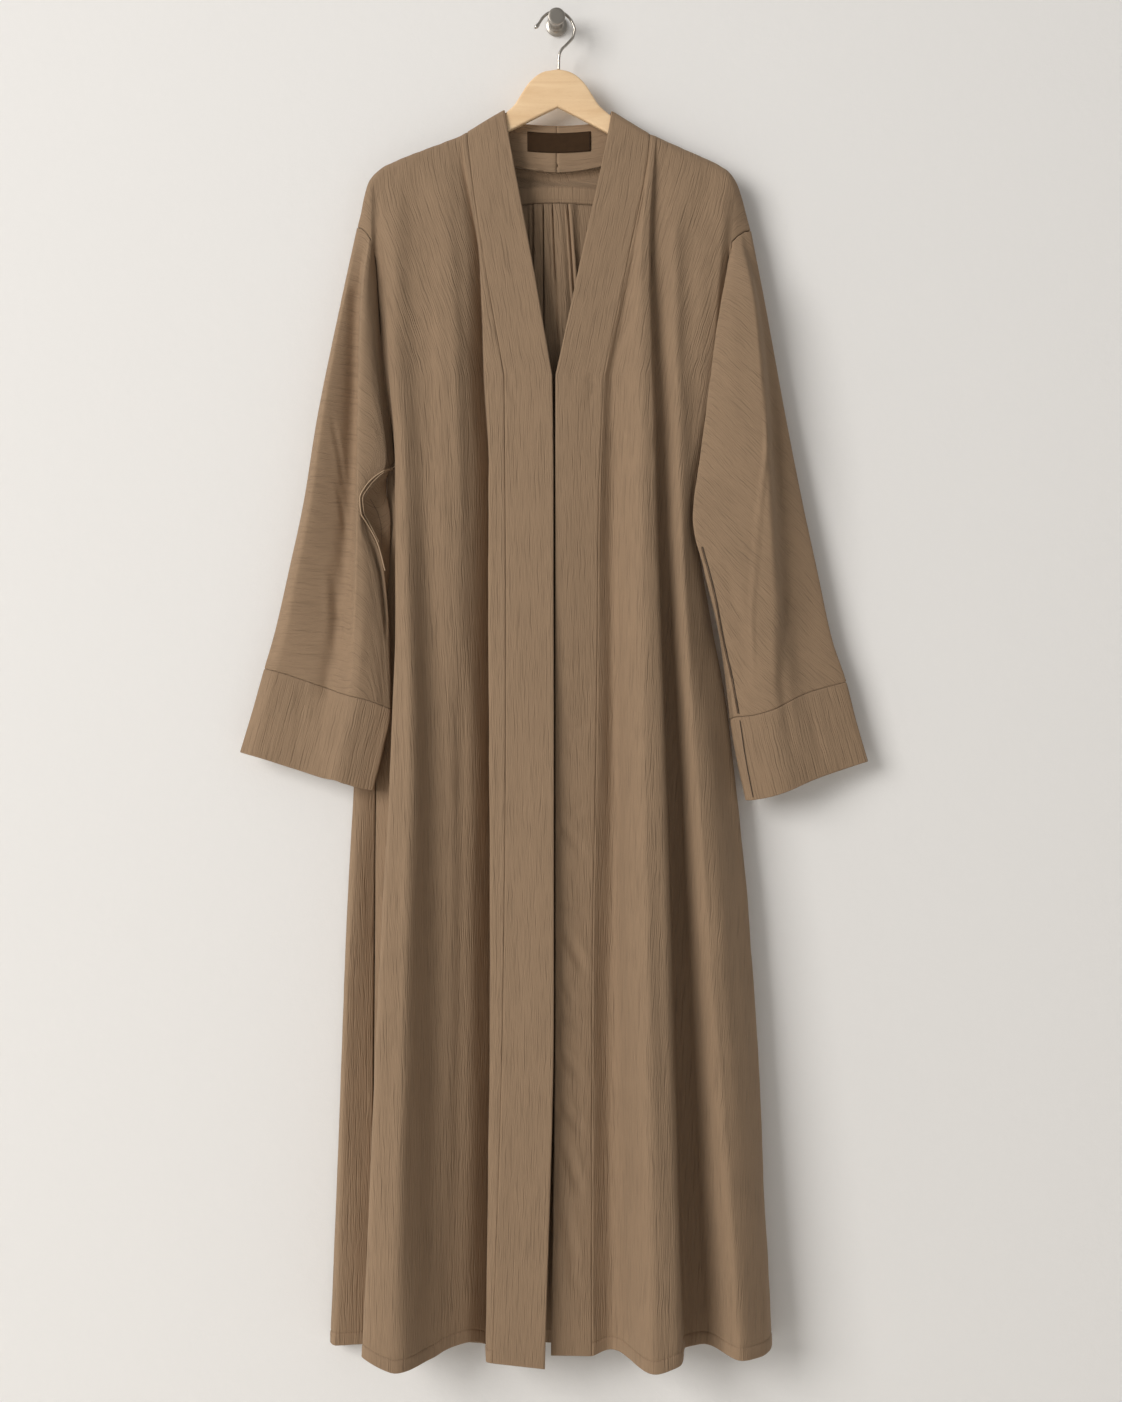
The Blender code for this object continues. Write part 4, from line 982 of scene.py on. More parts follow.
        def side(corners: tuple, order: int, rim: bool) -> tuple[np.ndarray, np.ndarray]:
            """Four-sided faces between rows and columns of the net.

            Args:
                corners: The (row, column) of each corner, in order round a face.
                order: 1, or -1 to turn the faces over.
                rim: Whether the last two corners lie on the inner face.

            Returns:
                The faces, and their corners' rows and columns.
            """
            found = np.stack([
                row * columns + column % columns + size * (rim and n > 1)
                for n, (row, column) in enumerate(corners)
            ], axis=-1)
            flat = [np.broadcast_to(value, found.shape[:-1]) for corner in corners for value in corner]
            spots = np.stack(flat, axis=-1).reshape(-1, 4, 2)
            return found.reshape(-1, 4)[:, ::order], spots[:, ::order]

        i, j = np.meshgrid(np.arange(rows - 1), np.arange(stops), indexing="ij")
        outer, spots = side(((i, j), (i + 1, j), (i + 1, j + 1), (i, j + 1)), 1, False)
        parts = [(outer, spots), (outer[:, ::-1] + size, spots[:, ::-1])]
        j = np.arange(stops)
        for row, order in ((0, 1), (rows - 1, -1)):
            parts.append(side(((row, j), (row, j + 1), (row, j + 1), (row, j)), order, True))
        i = np.arange(rows - 1)
        for column, order in () if self.tube else ((0, -1), (columns - 1, 1)):
            parts.append(side(((i, column), (i + 1, column), (i + 1, column), (i, column)), order, True))
        faces, places = (np.concatenate(each) for each in zip(*parts))
        return points, faces, places

    def build(self, material: bpy.types.Material) -> bpy.types.Object:
        """Makes the piece in the scene.

        Args:
            material: The cloth's finish.

        Returns:
            The object, with its distances along the cloth as its UV map.
        """
        points, faces, places = self.wrapped()
        world_points = np.stack([points[:, 0], -points[:, 1], points[:, 2]], axis=-1) * MM
        if signed_volume(world_points, faces) < 0:
            faces, places = faces[:, ::-1], places[:, ::-1]
        mesh = bpy.data.meshes.new(self.name)
        mesh.vertices.add(len(world_points))
        mesh.vertices.foreach_set("co", world_points.astype(np.float32).ravel())
        mesh.loops.add(faces.size)
        mesh.loops.foreach_set("vertex_index", faces.astype(np.int32).ravel())
        mesh.polygons.add(len(faces))
        mesh.polygons.foreach_set("loop_start", np.arange(0, faces.size, 4, dtype=np.int32))
        mesh.update(calc_edges=True)
        a, b = self.weave_places()
        if self.tube:
            a, b = (np.concatenate([c, c[:, -1:] + (c[:, -1:] - c[:, -2:-1])], axis=1) for c in (a, b))
        rows_at, columns_at = places[..., 0].ravel(), places[..., 1].ravel()
        uv = np.stack([a[rows_at, columns_at], b[rows_at, columns_at]], axis=-1) * MM
        layer = mesh.uv_layers.new(name="Cloth")
        layer.data.foreach_set("uv", uv.astype(np.float32).ravel())
        mesh.shade_smooth()
        return placed(self.name, mesh, material)


def signed_volume(points: np.ndarray, quads: np.ndarray) -> float:
    """The volume inside the faces, below 0 where they point inwards."""
    a, b, c, d = (points[quads[:, n]] for n in range(4))
    return float(((a * np.cross(b, c)).sum() + (a * np.cross(c, d)).sum()) / 6)


def world(place: Place) -> Place:
    """Metres, with the wall at y = 0 and the garment in front of it at -y."""
    x, out, z = place
    return (x * MM, -out * MM, z * MM)


def placed(name: str, mesh: bpy.types.Mesh, material: bpy.types.Material | None) -> bpy.types.Object:
    """Puts a finished mesh in the scene, at the origin.

    Args:
        name: The new object's name.
        mesh: Its mesh.
        material: Its finish, or none.

    Returns:
        The object.
    """
    obj = bpy.data.objects.new(name, mesh)
    if material is not None:
        mesh.materials.append(material)
    bpy.context.scene.collection.objects.link(obj)
    return obj


def closed(name: str, body: bmesh.types.BMesh, material: bpy.types.Material,
           sharp: float | None = None) -> bpy.types.Object:
    """Puts an edited solid in the scene, its faces outwards.

    Args:
        name: The new piece's name.
        body: The solid, which is freed.
        material: Its finish.
        sharp: Edges that turn by more than this many degrees stay sharp.

    Returns:
        The piece.
    """
    bmesh.ops.recalc_face_normals(body, faces=body.faces)
    mesh = bpy.data.meshes.new(name)
    body.to_mesh(mesh)
    body.free()
    mesh.shade_smooth()
    if sharp is not None:
        mesh.set_sharp_from_angle(angle=math.radians(sharp))
    return placed(name, mesh, material)


def through_rings(rings: list[list[Place]]) -> bmesh.types.BMesh:
    """A closed solid through rings that all have the same number of places.

    Args:
        rings: Rings of places, from one end to the other.

    Returns:
        The solid, its ends closed by flat faces.
    """
    body = bmesh.new()
    loops = [[body.verts.new(world(place)) for place in ring] for ring in rings]
    for low, high in zip(loops, loops[1:]):
        for i in range(len(low)):
            j = (i + 1) % len(low)
            body.faces.new((low[i], low[j], high[j], high[i]))
    body.faces.new(loops[0])
    body.faces.new(loops[-1])
    return body


def linear(colour: Colour) -> tuple[float, float, float, float]:
    """An sRGB colour from 0 to 255 as linear values."""
    return (*[((c / 255 + 0.055) / 1.055) ** 2.4 if c > 10 else c / 255 / 12.92 for c in colour], 1.0)


def shade(colour: Colour, share: float) -> tuple[float, float, float, float]:
    """An sRGB colour as linear values, made darker or lighter by this share."""
    return (*[min(1.0, c * share) for c in linear(colour)[:3]], 1.0)


class Nodes:
    """A short way to place and join shader or geometry nodes in one tree."""

    def __init__(self, tree: bpy.types.NodeTree) -> None:
        """Keeps the tree."""
        self.tree = tree

    def fill(self, node: bpy.types.Node, **values: object) -> bpy.types.Node:
        """Sets or joins a node's inputs, each named in_ and its number or name.

        Args:
            node: The node.
            values: A value, or the output to join, for each input.

        Returns:
            The same node.
        """
        for key, value in values.items():
            where = key.removeprefix("in_")
            target = node.inputs[int(where) if where.isdigit() else where.replace("_", " ")]
            if isinstance(value, bpy.types.NodeSocket):
                self.tree.links.new(value, target)
            else:
                target.default_value = value
        return node

    def add(self, kind: str, **settings: object) -> bpy.types.Node:
        """A new node, with its own settings and its inputs.

        Args:
            kind: The node's type.
            settings: Its settings, and as in fill its inputs.

        Returns:
            The node.
        """
        node = self.tree.nodes.new(kind)
        for key, value in settings.items():
            if not key.startswith("in_"):
                setattr(node, key, value)
        return self.fill(node, **{key: value for key, value in settings.items() if key.startswith("in_")})

    def math(self, operation: str, a: object, b: object = 0.0, clamp: bool = False) -> bpy.types.NodeSocket:
        """The output of one Math node."""
        return self.add("ShaderNodeMath", operation=operation, use_clamp=clamp, in_0=a, in_1=b).outputs[0]

    def weighed(self, a: object, share_a: float, b: object, share_b: float) -> bpy.types.NodeSocket:
        """The sum of two values, each times its share."""
        return self.math("ADD", self.math("MULTIPLY", a, share_a), self.math("MULTIPLY", b, share_b))

    def noise(self, spot: bpy.types.NodeSocket, scale: object, detail: float,
              **more: object) -> bpy.types.NodeSocket:
        """The height of one Noise node."""
        node = self.add("ShaderNodeTexNoise", in_Vector=spot, in_Scale=scale, in_Detail=detail, **more)
        return node.outputs[0]

    def between(self, share: object, first: object, second: object) -> bpy.types.NodeSocket:
        """The colour at this share of the way from the first to the second."""
        return self.add("ShaderNodeMix", data_type="RGBA", in_0=share, in_6=first, in_7=second).outputs[2]

    def bump(self, strength: float, distance: float, height: bpy.types.NodeSocket) -> bpy.types.NodeSocket:
        """The normals of one Bump node."""
        node = self.add("ShaderNodeBump", in_Strength=strength, in_Distance=distance, in_Height=height)
        return node.outputs[0]

    def stretched(self, value: object, low: float, high: float) -> bpy.types.NodeSocket:
        """The value's place between these two, from 0 to 1."""
        return self.add("ShaderNodeMapRange", in_Value=value, in_1=low, in_2=high).outputs[0]


def started(name: str) -> tuple[bpy.types.Material, Nodes, bpy.types.Node]:
    """A new material, the helper for its tree and its main shader.

    Args:
        name: The material's name.

    Returns:
        The three of them.
    """
    material = bpy.data.materials.new(name)
    material.use_nodes = True
    return material, Nodes(material.node_tree), material.node_tree.nodes["Principled BSDF"]


def crinkle_group() -> bpy.types.NodeTree:
    """Crinkled crepe: crinkle lines along V, a finer grain between them, and painted shade and highlight that
    follow them.

    Returns:
        The group, with the sizes and two colours as its inputs: Shade, the painted shade of the troughs, and
        Light, the painted highlight of the crests.
    """
    tree = bpy.data.node_groups.new("Crepe crinkle", "ShaderNodeTree")
    for name, kind, value in (
        ("Across", "NodeSocketFloat", 430.0),
        ("Along", "NodeSocketFloat", 15.0),
        ("Wander", "NodeSocketFloat", 0.0018),
        ("Grain", "NodeSocketFloat", 1500.0),
        ("Shade", "NodeSocketColor", (0.2, 0.13, 0.08, 1)),
        ("Light", "NodeSocketColor", (0.3, 0.2, 0.12, 1)),
    ):
        socket = tree.interface.new_socket(name=name, in_out="INPUT", socket_type=kind)
        socket.default_value = value
    tree.interface.new_socket(name="Height", in_out="OUTPUT", socket_type="NodeSocketFloat")
    tree.interface.new_socket(name="Colour", in_out="OUTPUT", socket_type="NodeSocketColor")
    n = Nodes(tree)
    given = n.add("NodeGroupInput").outputs
    spot = n.add("ShaderNodeUVMap", uv_map="Cloth").outputs[0]
    wander = n.add("ShaderNodeTexNoise", in_Vector=spot, in_Scale=38.0, in_Detail=1.0).outputs["Color"]
    vectors = "ShaderNodeVectorMath"
    centred = n.add(vectors, operation="SUBTRACT", in_0=wander, in_1=(0.5, 0.5, 0.5)).outputs[0]
    size = n.math("MULTIPLY", given["Wander"], 2.0)
    shift = n.add(vectors, operation="SCALE", in_0=centred, in_Scale=size).outputs[0]
    bent = n.add(vectors, operation="ADD", in_0=spot, in_1=shift).outputs[0]
    parts = n.add("ShaderNodeSeparateXYZ", in_0=bent).outputs

    def streaks(over: float, down: float, detail: float) -> bpy.types.NodeSocket:
        """Noise drawn out along V.

        Args:
            over: The share of the group's own size across.
            down: The share of its size along.
            detail: The noise's detail.

        Returns:
            The noise's height.
        """
        u = n.math("MULTIPLY", parts[0], n.math("MULTIPLY", given["Across"], over))
        v = n.math("MULTIPLY", parts[1], n.math("MULTIPLY", given["Along"], down))
        joined = n.add("ShaderNodeCombineXYZ", in_0=u, in_1=v).outputs[0]
        return n.noise(joined, 1.0, detail, in_Roughness=0.55)

    main = streaks(1.0, 1.0, 1.5)
    lines = n.math("ABSOLUTE", n.math("SUBTRACT", n.math("MULTIPLY", main, 2.0), 1.0))
    lines = n.math("SUBTRACT", 1.0, n.math("MULTIPLY", lines, 2.2), clamp=True)
    fine = streaks(2.1, 2.6, 2.0)
    grain = n.noise(spot, given["Grain"], 1.0)
    height = n.weighed(main, 0.6, lines, 0.34)
    height = n.math("ADD", height, n.math("MULTIPLY", fine, 0.5))
    height = n.math("ADD", height, n.math("MULTIPLY", grain, 0.06))
    # Painted shade and highlight: the colour runs from Shade in the crinkles' troughs to Light on their
    # crests by their height, with some random tone from a broad noise.
    mask = n.weighed(height, 0.72, n.noise(spot, 14.0, 2.0), 0.28)
    colour = n.between(n.stretched(mask, 0.42, 0.92), given["Shade"], given["Light"])
    n.fill(n.add("NodeGroupOutput"), in_Height=height, in_Colour=colour)
    return tree


@dataclass(frozen=True)
class CrepeFinish:
    """Matte crinkled crepe with a faint sheen."""

    name: str
    colour: Colour = (146, 122, 98)
    sheen: Colour = (226, 208, 186)
    across: float = 430.0
    along: float = 15.0
    depth: float = 0.0017

    def make(self, crinkle: bpy.types.NodeTree) -> bpy.types.Material:
        """Builds the material round the shared crinkle group.

        Args:
            crinkle: The group that every crepe shares.

        Returns:
            The new material.
        """
        material, n, shader = started(self.name)
        group = n.add("ShaderNodeGroup", node_tree=crinkle)
        # A darker copy of the cloth is the painted shade in the crinkles' troughs, and a lighter copy is the
        # painted highlight on their crests.
        n.fill(group, in_Across=self.across, in_Along=self.along, in_Shade=shade(self.colour, 0.86),
               in_Light=shade(self.colour, 1.1))
        n.fill(shader, in_Base_Color=group.outputs["Colour"],
               in_Normal=n.bump(0.85, self.depth, group.outputs["Height"]), in_Roughness=0.82,
               in_Specular_IOR_Level=0.25, in_Sheen_Weight=0.16, in_Sheen_Roughness=0.5,
               in_Sheen_Tint=linear(self.sheen))
        return material


@dataclass(frozen=True)
class TapeFinish:
    """Woven label tape: close ribs with a dull gloss."""

    name: str = "Dark woven tape"
    colour: Colour = (60, 43, 28)

    def make(self) -> bpy.types.Material:
        """Builds the material.

        Returns:
            The new material.
        """
        material, n, shader = started(self.name)
        spot = n.add("ShaderNodeUVMap", uv_map="Cloth").outputs[0]
        ribs, picks = (
            n.add("ShaderNodeTexWave", bands_direction=way, in_Vector=spot, in_Scale=scale,
                  in_Distortion=distortion).outputs["Fac"]
            for way, scale, distortion in (("X", 420.0, 0.4), ("Y", 620.0, 0.6))
        )
        height = n.weighed(ribs, 0.6, picks, 0.4)
        mask = n.weighed(height, 0.5, n.noise(spot, 160.0, 3.0), 0.5)
        n.fill(shader, in_Base_Color=n.between(mask, shade(self.colour, 0.6), shade(self.colour, 1.5)),
               in_Normal=n.bump(0.7, 0.00015, height), in_Roughness=0.8, in_Specular_IOR_Level=0.12)
        return material


@dataclass(frozen=True)
class ThreadFinish:
    """Sewing thread, a little darker or lighter than the cloth."""

    name: str
    colour: Colour

    def make(self) -> bpy.types.Material:
        """Builds the material.

        Returns:
            The new material.
        """
        material, n, shader = started(self.name)
        twist = n.noise(n.add("ShaderNodeTexCoord").outputs["Object"], 2600.0, 1.0)
        n.fill(shader, in_Base_Color=n.between(twist, shade(self.colour, 0.7), shade(self.colour, 1.25)),
               in_Roughness=0.6)
        return material


@dataclass(frozen=True)
class BeechFinish:
    """Pale steamed beech under satin varnish: long grain with short flecks."""

    name: str = "Pale beech"
    light: Colour = (246, 215, 174)
    dark: Colour = (231, 195, 151)

    def make(self) -> bpy.types.Material:
        """Builds the material.

        Returns:
            The new material.
        """
        material, n, shader = started(self.name)
        spot = n.add("ShaderNodeTexCoord").outputs["Object"]
        grain, flecks = (n.add("ShaderNodeMapping", in_Vector=spot, in_Scale=scale).outputs[0]
                         for scale in ((9.0, 60.0, 85.0), (260.0, 900.0, 1400.0)))
        wave = n.noise(grain, 1.0, 5.0, in_Distortion=0.6)
        fleck = n.stretched(n.noise(flecks, 1.0, 1.0), 0.6, 0.74)
        tone = n.stretched(wave, 0.35, 0.68)
        mask = n.math("SUBTRACT", tone, n.math("MULTIPLY", fleck, 0.35), clamp=True)
        rough = n.add("ShaderNodeMapRange", in_Value=mask, in_3=0.42, in_4=0.34).outputs[0]
        n.fill(shader, in_Base_Color=n.between(mask, linear(self.dark), linear(self.light)),
               in_Normal=n.bump(0.25, 0.0002, mask), in_Roughness=rough, in_Coat_Weight=0.15,
               in_Coat_Roughness=0.3)
        return material


@dataclass(frozen=True)
class MetalFinish:
    """Brushed or polished plated metal."""

    name: str
    colour: Colour
    roughness: float
    stretch: tuple[float, float, float]
    depth: float

    def make(self) -> bpy.types.Material:
        """Builds the material.

        Returns:
            The new material.
        """
        material, n, shader = started(self.name)
        spot = n.add("ShaderNodeTexCoord").outputs["Object"]
        drawn = n.add("ShaderNodeMapping", in_Vector=spot, in_Scale=self.stretch).outputs[0]
        brush = n.noise(drawn, 1.0, 3.0)
        rough = n.add("ShaderNodeMapRange", in_Value=n.noise(spot, 240.0, 2.0), in_3=self.roughness - 0.05,
                      in_4=self.roughness + 0.07).outputs[0]
        n.fill(shader, in_Base_Color=n.between(brush, shade(self.colour, 0.85), shade(self.colour, 1.12)),
               in_Roughness=rough, in_Normal=n.bump(0.4, self.depth, brush), in_Metallic=1.0)
        return material


class StitchRows:
    """Rows of stitches that follow lines on the cloth, made by Geometry Nodes."""

    def __init__(self) -> None:
        """Builds the tree once."""
        self.tree = bpy.data.node_groups.new("Stitch row", "GeometryNodeTree")
        face = self.tree.interface
        face.new_socket(name="Path", in_out="INPUT", socket_type="NodeSocketGeometry")
        self.ids = {}
        for name, value in (("Pitch", 0.003), ("Stitch length", 0.0021), ("Thread radius", 0.00024)):
            socket = face.new_socket(name=name, in_out="INPUT", socket_type="NodeSocketFloat")
            socket.default_value = value
            self.ids[name] = socket.identifier
        socket = face.new_socket(name="Thread", in_out="INPUT", socket_type="NodeSocketMaterial")
        self.ids["Thread"] = socket.identifier
        face.new_socket(name="Stitches", in_out="OUTPUT", socket_type="NodeSocketGeometry")
        n = Nodes(self.tree)
        given = n.add("NodeGroupInput").outputs
        line = n.add("GeometryNodeMeshToCurve", in_Mesh=given["Path"]).outputs[0]
        stops = n.add("GeometryNodeResampleCurve", mode="LENGTH", in_Curve=line,
                      in_Length=given["Pitch"]).outputs[0]
        tangent = n.add("GeometryNodeInputTangent").outputs[0]
        turned = n.add("FunctionNodeAlignRotationToVector", axis="Z", in_Vector=tangent).outputs[0]
        bead = n.add("GeometryNodeMeshUVSphere", in_Segments=6, in_Rings=4, in_Radius=1.0).outputs[0]
        half = n.math("MULTIPLY", given["Stitch length"], 0.5)
        thick = given["Thread radius"]
        size = n.add("ShaderNodeCombineXYZ", in_0=thick, in_1=thick, in_2=half).outputs[0]
        copies = n.add("GeometryNodeInstanceOnPoints", in_Points=stops, in_Instance=bead, in_Rotation=turned,
                       in_Scale=size).outputs[0]
        real = n.add("GeometryNodeRealizeInstances", in_Geometry=copies).outputs[0]
        smooth = n.add("GeometryNodeSetShadeSmooth", in_Geometry=real).outputs[0]
        dressed = n.add("GeometryNodeSetMaterial", in_Geometry=smooth, in_Material=given["Thread"]).outputs[0]
        n.add("NodeGroupOutput", in_0=dressed)

    def sew(self, name: str, lines: list[np.ndarray], thread: bpy.types.Material, pitch: float = 3.0,
            length: float = 2.1, radius: float = 0.24) -> bpy.types.Object:
        """Makes the stitches of one piece.

        Args:
            name: The new piece's name.
            lines: Paths on the cloth, in table places.
            thread: The thread's material.
            pitch: From stitch to stitch, in millimetres.
            length: One stitch's length.
            radius: The thread's radius.

        Returns:
            The stitches as one plain mesh object.
        """
        points, edges = [], []
        for line in lines:
            start = len(points)
            points += [world(tuple(p)) for p in line]
            edges += [(start + i, start + i + 1) for i in range(len(line) - 1)]
        mesh = bpy.data.meshes.new(f"{name}_path")
        mesh.from_pydata(points, edges, [])
        guide = placed(f"{name}_path", mesh, None)
        modifier = guide.modifiers.new("Stitches", "NODES")
        modifier.node_group = self.tree
        for key, value in (("Pitch", pitch), ("Stitch length", length), ("Thread radius", radius)):
            modifier[self.ids[key]] = value * MM
        modifier[self.ids["Thread"]] = thread
        graph = bpy.context.evaluated_depsgraph_get()
        made = bpy.data.meshes.new_from_object(guide.evaluated_get(graph))
        made.name = name
        bpy.data.objects.remove(guide, do_unlink=True)
        bpy.data.meshes.remove(mesh)
        return placed(name, made, None)


@dataclass(frozen=True)
class Trim:
    """Sizes of the pieces sewn inside the back neck."""

    label_size: Spot = (76.0, 24.0)
    label_wall: float = 0.8
    label_middle: float = 3.0
    label_drop: float = 9.0
    label_gap: float = 0.35
    label_stops: tuple[int, int] = (39, 13)
    strip_size: Spot = (196.0, 21.0)
    strip_wall: float = 1.4
    strip_rise: float = 0.8
    strip_gap: float = 0.5
    strip_stops: tuple[int, int] = (99, 11)

    @staticmethod
    def beside(net: Net, xs: np.ndarray, drops: np.ndarray, lift: float) -> Net:
        """Points lifted towards the room from a back piece.

        Args:
            net: The back piece, rows going down it.
            xs: Places across it.
            drops: Distances along the cloth from its first row.
            lift: How far out the points lie from it.

        Returns:
            The net of those points.
        """
        columns = []
        for x in xs:
            line = np.array([[np.interp(x, level[:, 0], level[:, i]) for i in range(3)] for level in net])
            run = running(np.linalg.norm(np.diff(line, axis=0), axis=1))
            columns.append([(x, np.interp(drop, run, line[:, 1]) + lift, np.interp(drop, run, line[:, 2]))
                            for drop in drops])
        return np.array(columns).transpose(1, 0, 2)


class Abaya:
    """The robe: fronts, band, yoke, back, sleeves, cuffs and what is sewn to them."""

    def __init__(self) -> None:
        """Works out the nets that the pieces share."""
        self.front_right = front_net(RIGHT_FOLDS, RIGHT_HEIGHTS)
        self.front_left = front_net(LEFT_FOLDS, LEFT_HEIGHTS)
        self.edges, self.first, self.centre, self.last = band_net()
        self.yoke = yoke_net(self.front_right, self.front_left, self.edges, self.first, self.last)
        self.under_right = self.underarm(RIGHT_HEIGHTS)
        self.under_left = self.underarm(LEFT_HEIGHTS)
        self.back = back_net(self.front_right, self.front_left, self.under_right, self.under_left,
                             ROWS_ABOVE_UNDERARM)
        self.objects: dict[str, bpy.types.Object] = {}
        self.shells: dict[str, Shell] = {}

    @staticmethod
    def underarm(heights: tuple[float, ...]) -> int:
        """The row of a front at its underarm level."""
        return int(np.argmin(np.abs(front_rows(heights) - level_marks(heights)[UNDERARM_MARK])))

    def add(self, shell: Shell, material: bpy.types.Material) -> None:
        """Builds a shell and keeps both.

        Args:
            shell: The cloth piece.
            material: Its finish.
        """
        self.shells[shell.name] = shell
        self.objects[shell.name] = shell.build(material)
        LOG.info("%s: %.3f square metres of cloth", shell.name, shell.area())

    def build(self, body: bpy.types.Material, placket: bpy.types.Material, sleeve: bpy.types.Material,
              cuff: bpy.types.Material) -> None:
        """Builds every cloth piece.

        Args:
            body: The finish of the fronts, the yoke and the back.
            placket: The finish of the bands.
            sleeve: The finish of the sleeves.
            cuff: The finish of the cuffs.
        """
        hemmed = {"rolled": (Edge.TOP, Edge.LEFT, Edge.RIGHT), "soft_edges": (Edge.BOTTOM,), "hem": True}
        for side, front, creases, seed in (
            ("right", self.front_right, RIGHT_FRONT_CREASES, 11),
            ("left", self.front_left, LEFT_FRONT_CREASES, 23),
        ):
            self.add(Shell(f"front_{side}_cloth", front, creases=creases, seed=seed, **hemmed), body)
        for side, edges, open_end, creases in (
            ("right", self.edges[:self.centre + 1], Edge.TOP, RIGHT_BAND_CREASES),
            ("left", self.edges[self.centre:], Edge.BOTTOM, LEFT_BAND_CREASES),
        ):
            self.add(Shell(f"band_{side}_cloth", self.filled(edges), wall=BAND_WALL,
                           rolled=(Edge.RIGHT, Edge.LEFT), soft_edges=(open_end,), creases=creases,
                           drift=0.45, crinkle=0.16, seed=31), placket)
        self.add(Shell("yoke_cloth", self.yoke, way=Way.WALL, rolled=tuple(Edge), creases=YOKE_CREASES,
                       drift=0.6, seed=41), body)
        self.add(Shell("back_cloth", self.back, way=Way.WALL, creases=PLEAT_CREASES,
                       back_creases=BACK_CREASES, drift=0.9, seed=43, **hemmed), body)
        for side, front, row, table, turn, creases in (
            ("right", self.front_right, self.under_right, RIGHT_SLEEVE, 82.0, RIGHT_SLEEVE_CREASES),
            ("left", self.front_left, self.under_left, LEFT_SLEEVE, 35.0, LEFT_SLEEVE_CREASES),
        ):
            front_edge = front[:row + 1, -1]
            yoke_edge = self.yoke[:, 0 if side == "right" else -1]
            down = np.concatenate([yoke_edge, np.array(BACK_ARMHOLES[side][1:], float), front_edge[-1:]])
            net, join = sleeve_net(table, front_edge, down[::-1])
            self.add(Shell(f"sleeve_{side}_cloth", net[:join + 1], way=None, rolled=(Edge.BOTTOM,),
                           soft_edges=(Edge.TOP,), turn=turn, creases=creases, drift=0.5, crinkle=0.2,
                           seed=53), sleeve)
            self.add(Shell(f"cuff_{side}_cloth", net[join:], wall=BAND_WALL, way=None, rolled=(Edge.TOP,),
                           soft_edges=(Edge.BOTTOM,), creases=creases, drift=0.5, seed=59), cuff)

    @staticmethod
    def filled(edges: Net) -> Net:
        """A band net between its two edges, with close points near both.

        Args:
            edges: The band's two edges.

        Returns:
            The net, rows first.
        """
        width = float(np.linalg.norm(edges[:, 0] - edges[:, 1], axis=1).mean())
        stops = divided(np.array([0.0, width]), FOLD_STEP, EDGE_STOPS, EDGE_STOPS) / width
        share = stops[None, :, None]
        return edges[:, :1] * (1 - share) + edges[:, 1:] * share

    def trim(self, trim: Trim, tape: bpy.types.Material, cloth: bpy.types.Material) -> None:
        """Adds the bare label and the strip over the yoke seam.

        Args:
            trim: Their sizes.
            tape: The label's finish.
            cloth: The strip's finish.
        """
        half = trim.label_size[0] / 2
        xs = np.linspace(trim.label_middle - half, trim.label_middle + half, trim.label_stops[0])
        drops = np.linspace(trim.label_drop, trim.label_drop + trim.label_size[1], trim.label_stops[1])
        neck = self.edges[self.first:self.last + 1].transpose(1, 0, 2)
        net = trim.beside(neck, xs, drops, BAND_WALL + trim.label_gap + trim.label_wall)
        self.add(Shell("label_tape", net, wall=trim.label_wall, soft_edges=tuple(Edge), drift=0.0,
                       crinkle=0.0), tape)
        half = trim.strip_size[0] / 2
        xs = np.linspace(-half, half, trim.strip_stops[0])
        rises = np.linspace(trim.strip_rise, trim.strip_rise + trim.strip_size[1], trim.strip_stops[1])
        net = trim.beside(self.yoke[::-1], xs, rises, BODY_WALL + trim.strip_gap + trim.strip_wall)
        self.add(Shell("yoke_strip_cloth", net, wall=trim.strip_wall, soft_edges=tuple(Edge), drift=0.0,
                       crinkle=0.12, seed=67), cloth)

    def on_face(self, name: str, edge: Edge, inset: float, lift: float = 0.12) -> np.ndarray:
        """A line on a piece's outer face, at a distance from one of its edges.

        Args:
            name: The piece's name.
            edge: The edge.
            inset: The distance from it.
            lift: How far out of the face the line lies.

        Returns:
            The line's places.
        """
        shell = self.shells[name]
        away = shell.from_edge(edge)
        net = shell.net + shell.normals * lift
        axis = edge.value[0]
        if axis == 0:
            net, away = net.transpose(1, 0, 2), away.T
        line = []
        for places, distances in zip(net, away):
            order = np.argsort(distances)
            line.append([np.interp(inset, distances[order], places[order, i]) for i in range(3)])
        return np.array(line)

    def on_cloth(self, name: str, path: tuple[Place, ...], lift: float = 0.2,
                 step: float = 2.0) -> np.ndarray:
        """A line on the room side of a piece, along a path whose own way out counts only off the cloth.

        Args:
            name: The piece's name.
            path: Places along the line.
            lift: How far out of the cloth the line lies.
            step: From place to place of the line.

        Returns:
            The line's places.
        """
        points = self.shells[name].net.reshape(-1, 3)
        marks = np.array(path, float)
        run = running(np.linalg.norm(np.diff(marks, axis=0), axis=1))
        line = smooth_through(run, marks, np.arange(0, run[-1], step))
        for place in line:
            near = np.abs(points[:, [0, 2]] - place[[0, 2]]).max(axis=1) < SEAM_REACH
            if near.any():
                place[1] = points[near, 1].max() + lift
        line[:, 1] = np.convolve(np.pad(line[:, 1], 2, mode="edge"), np.ones(5) / 5, mode="valid")
        return line

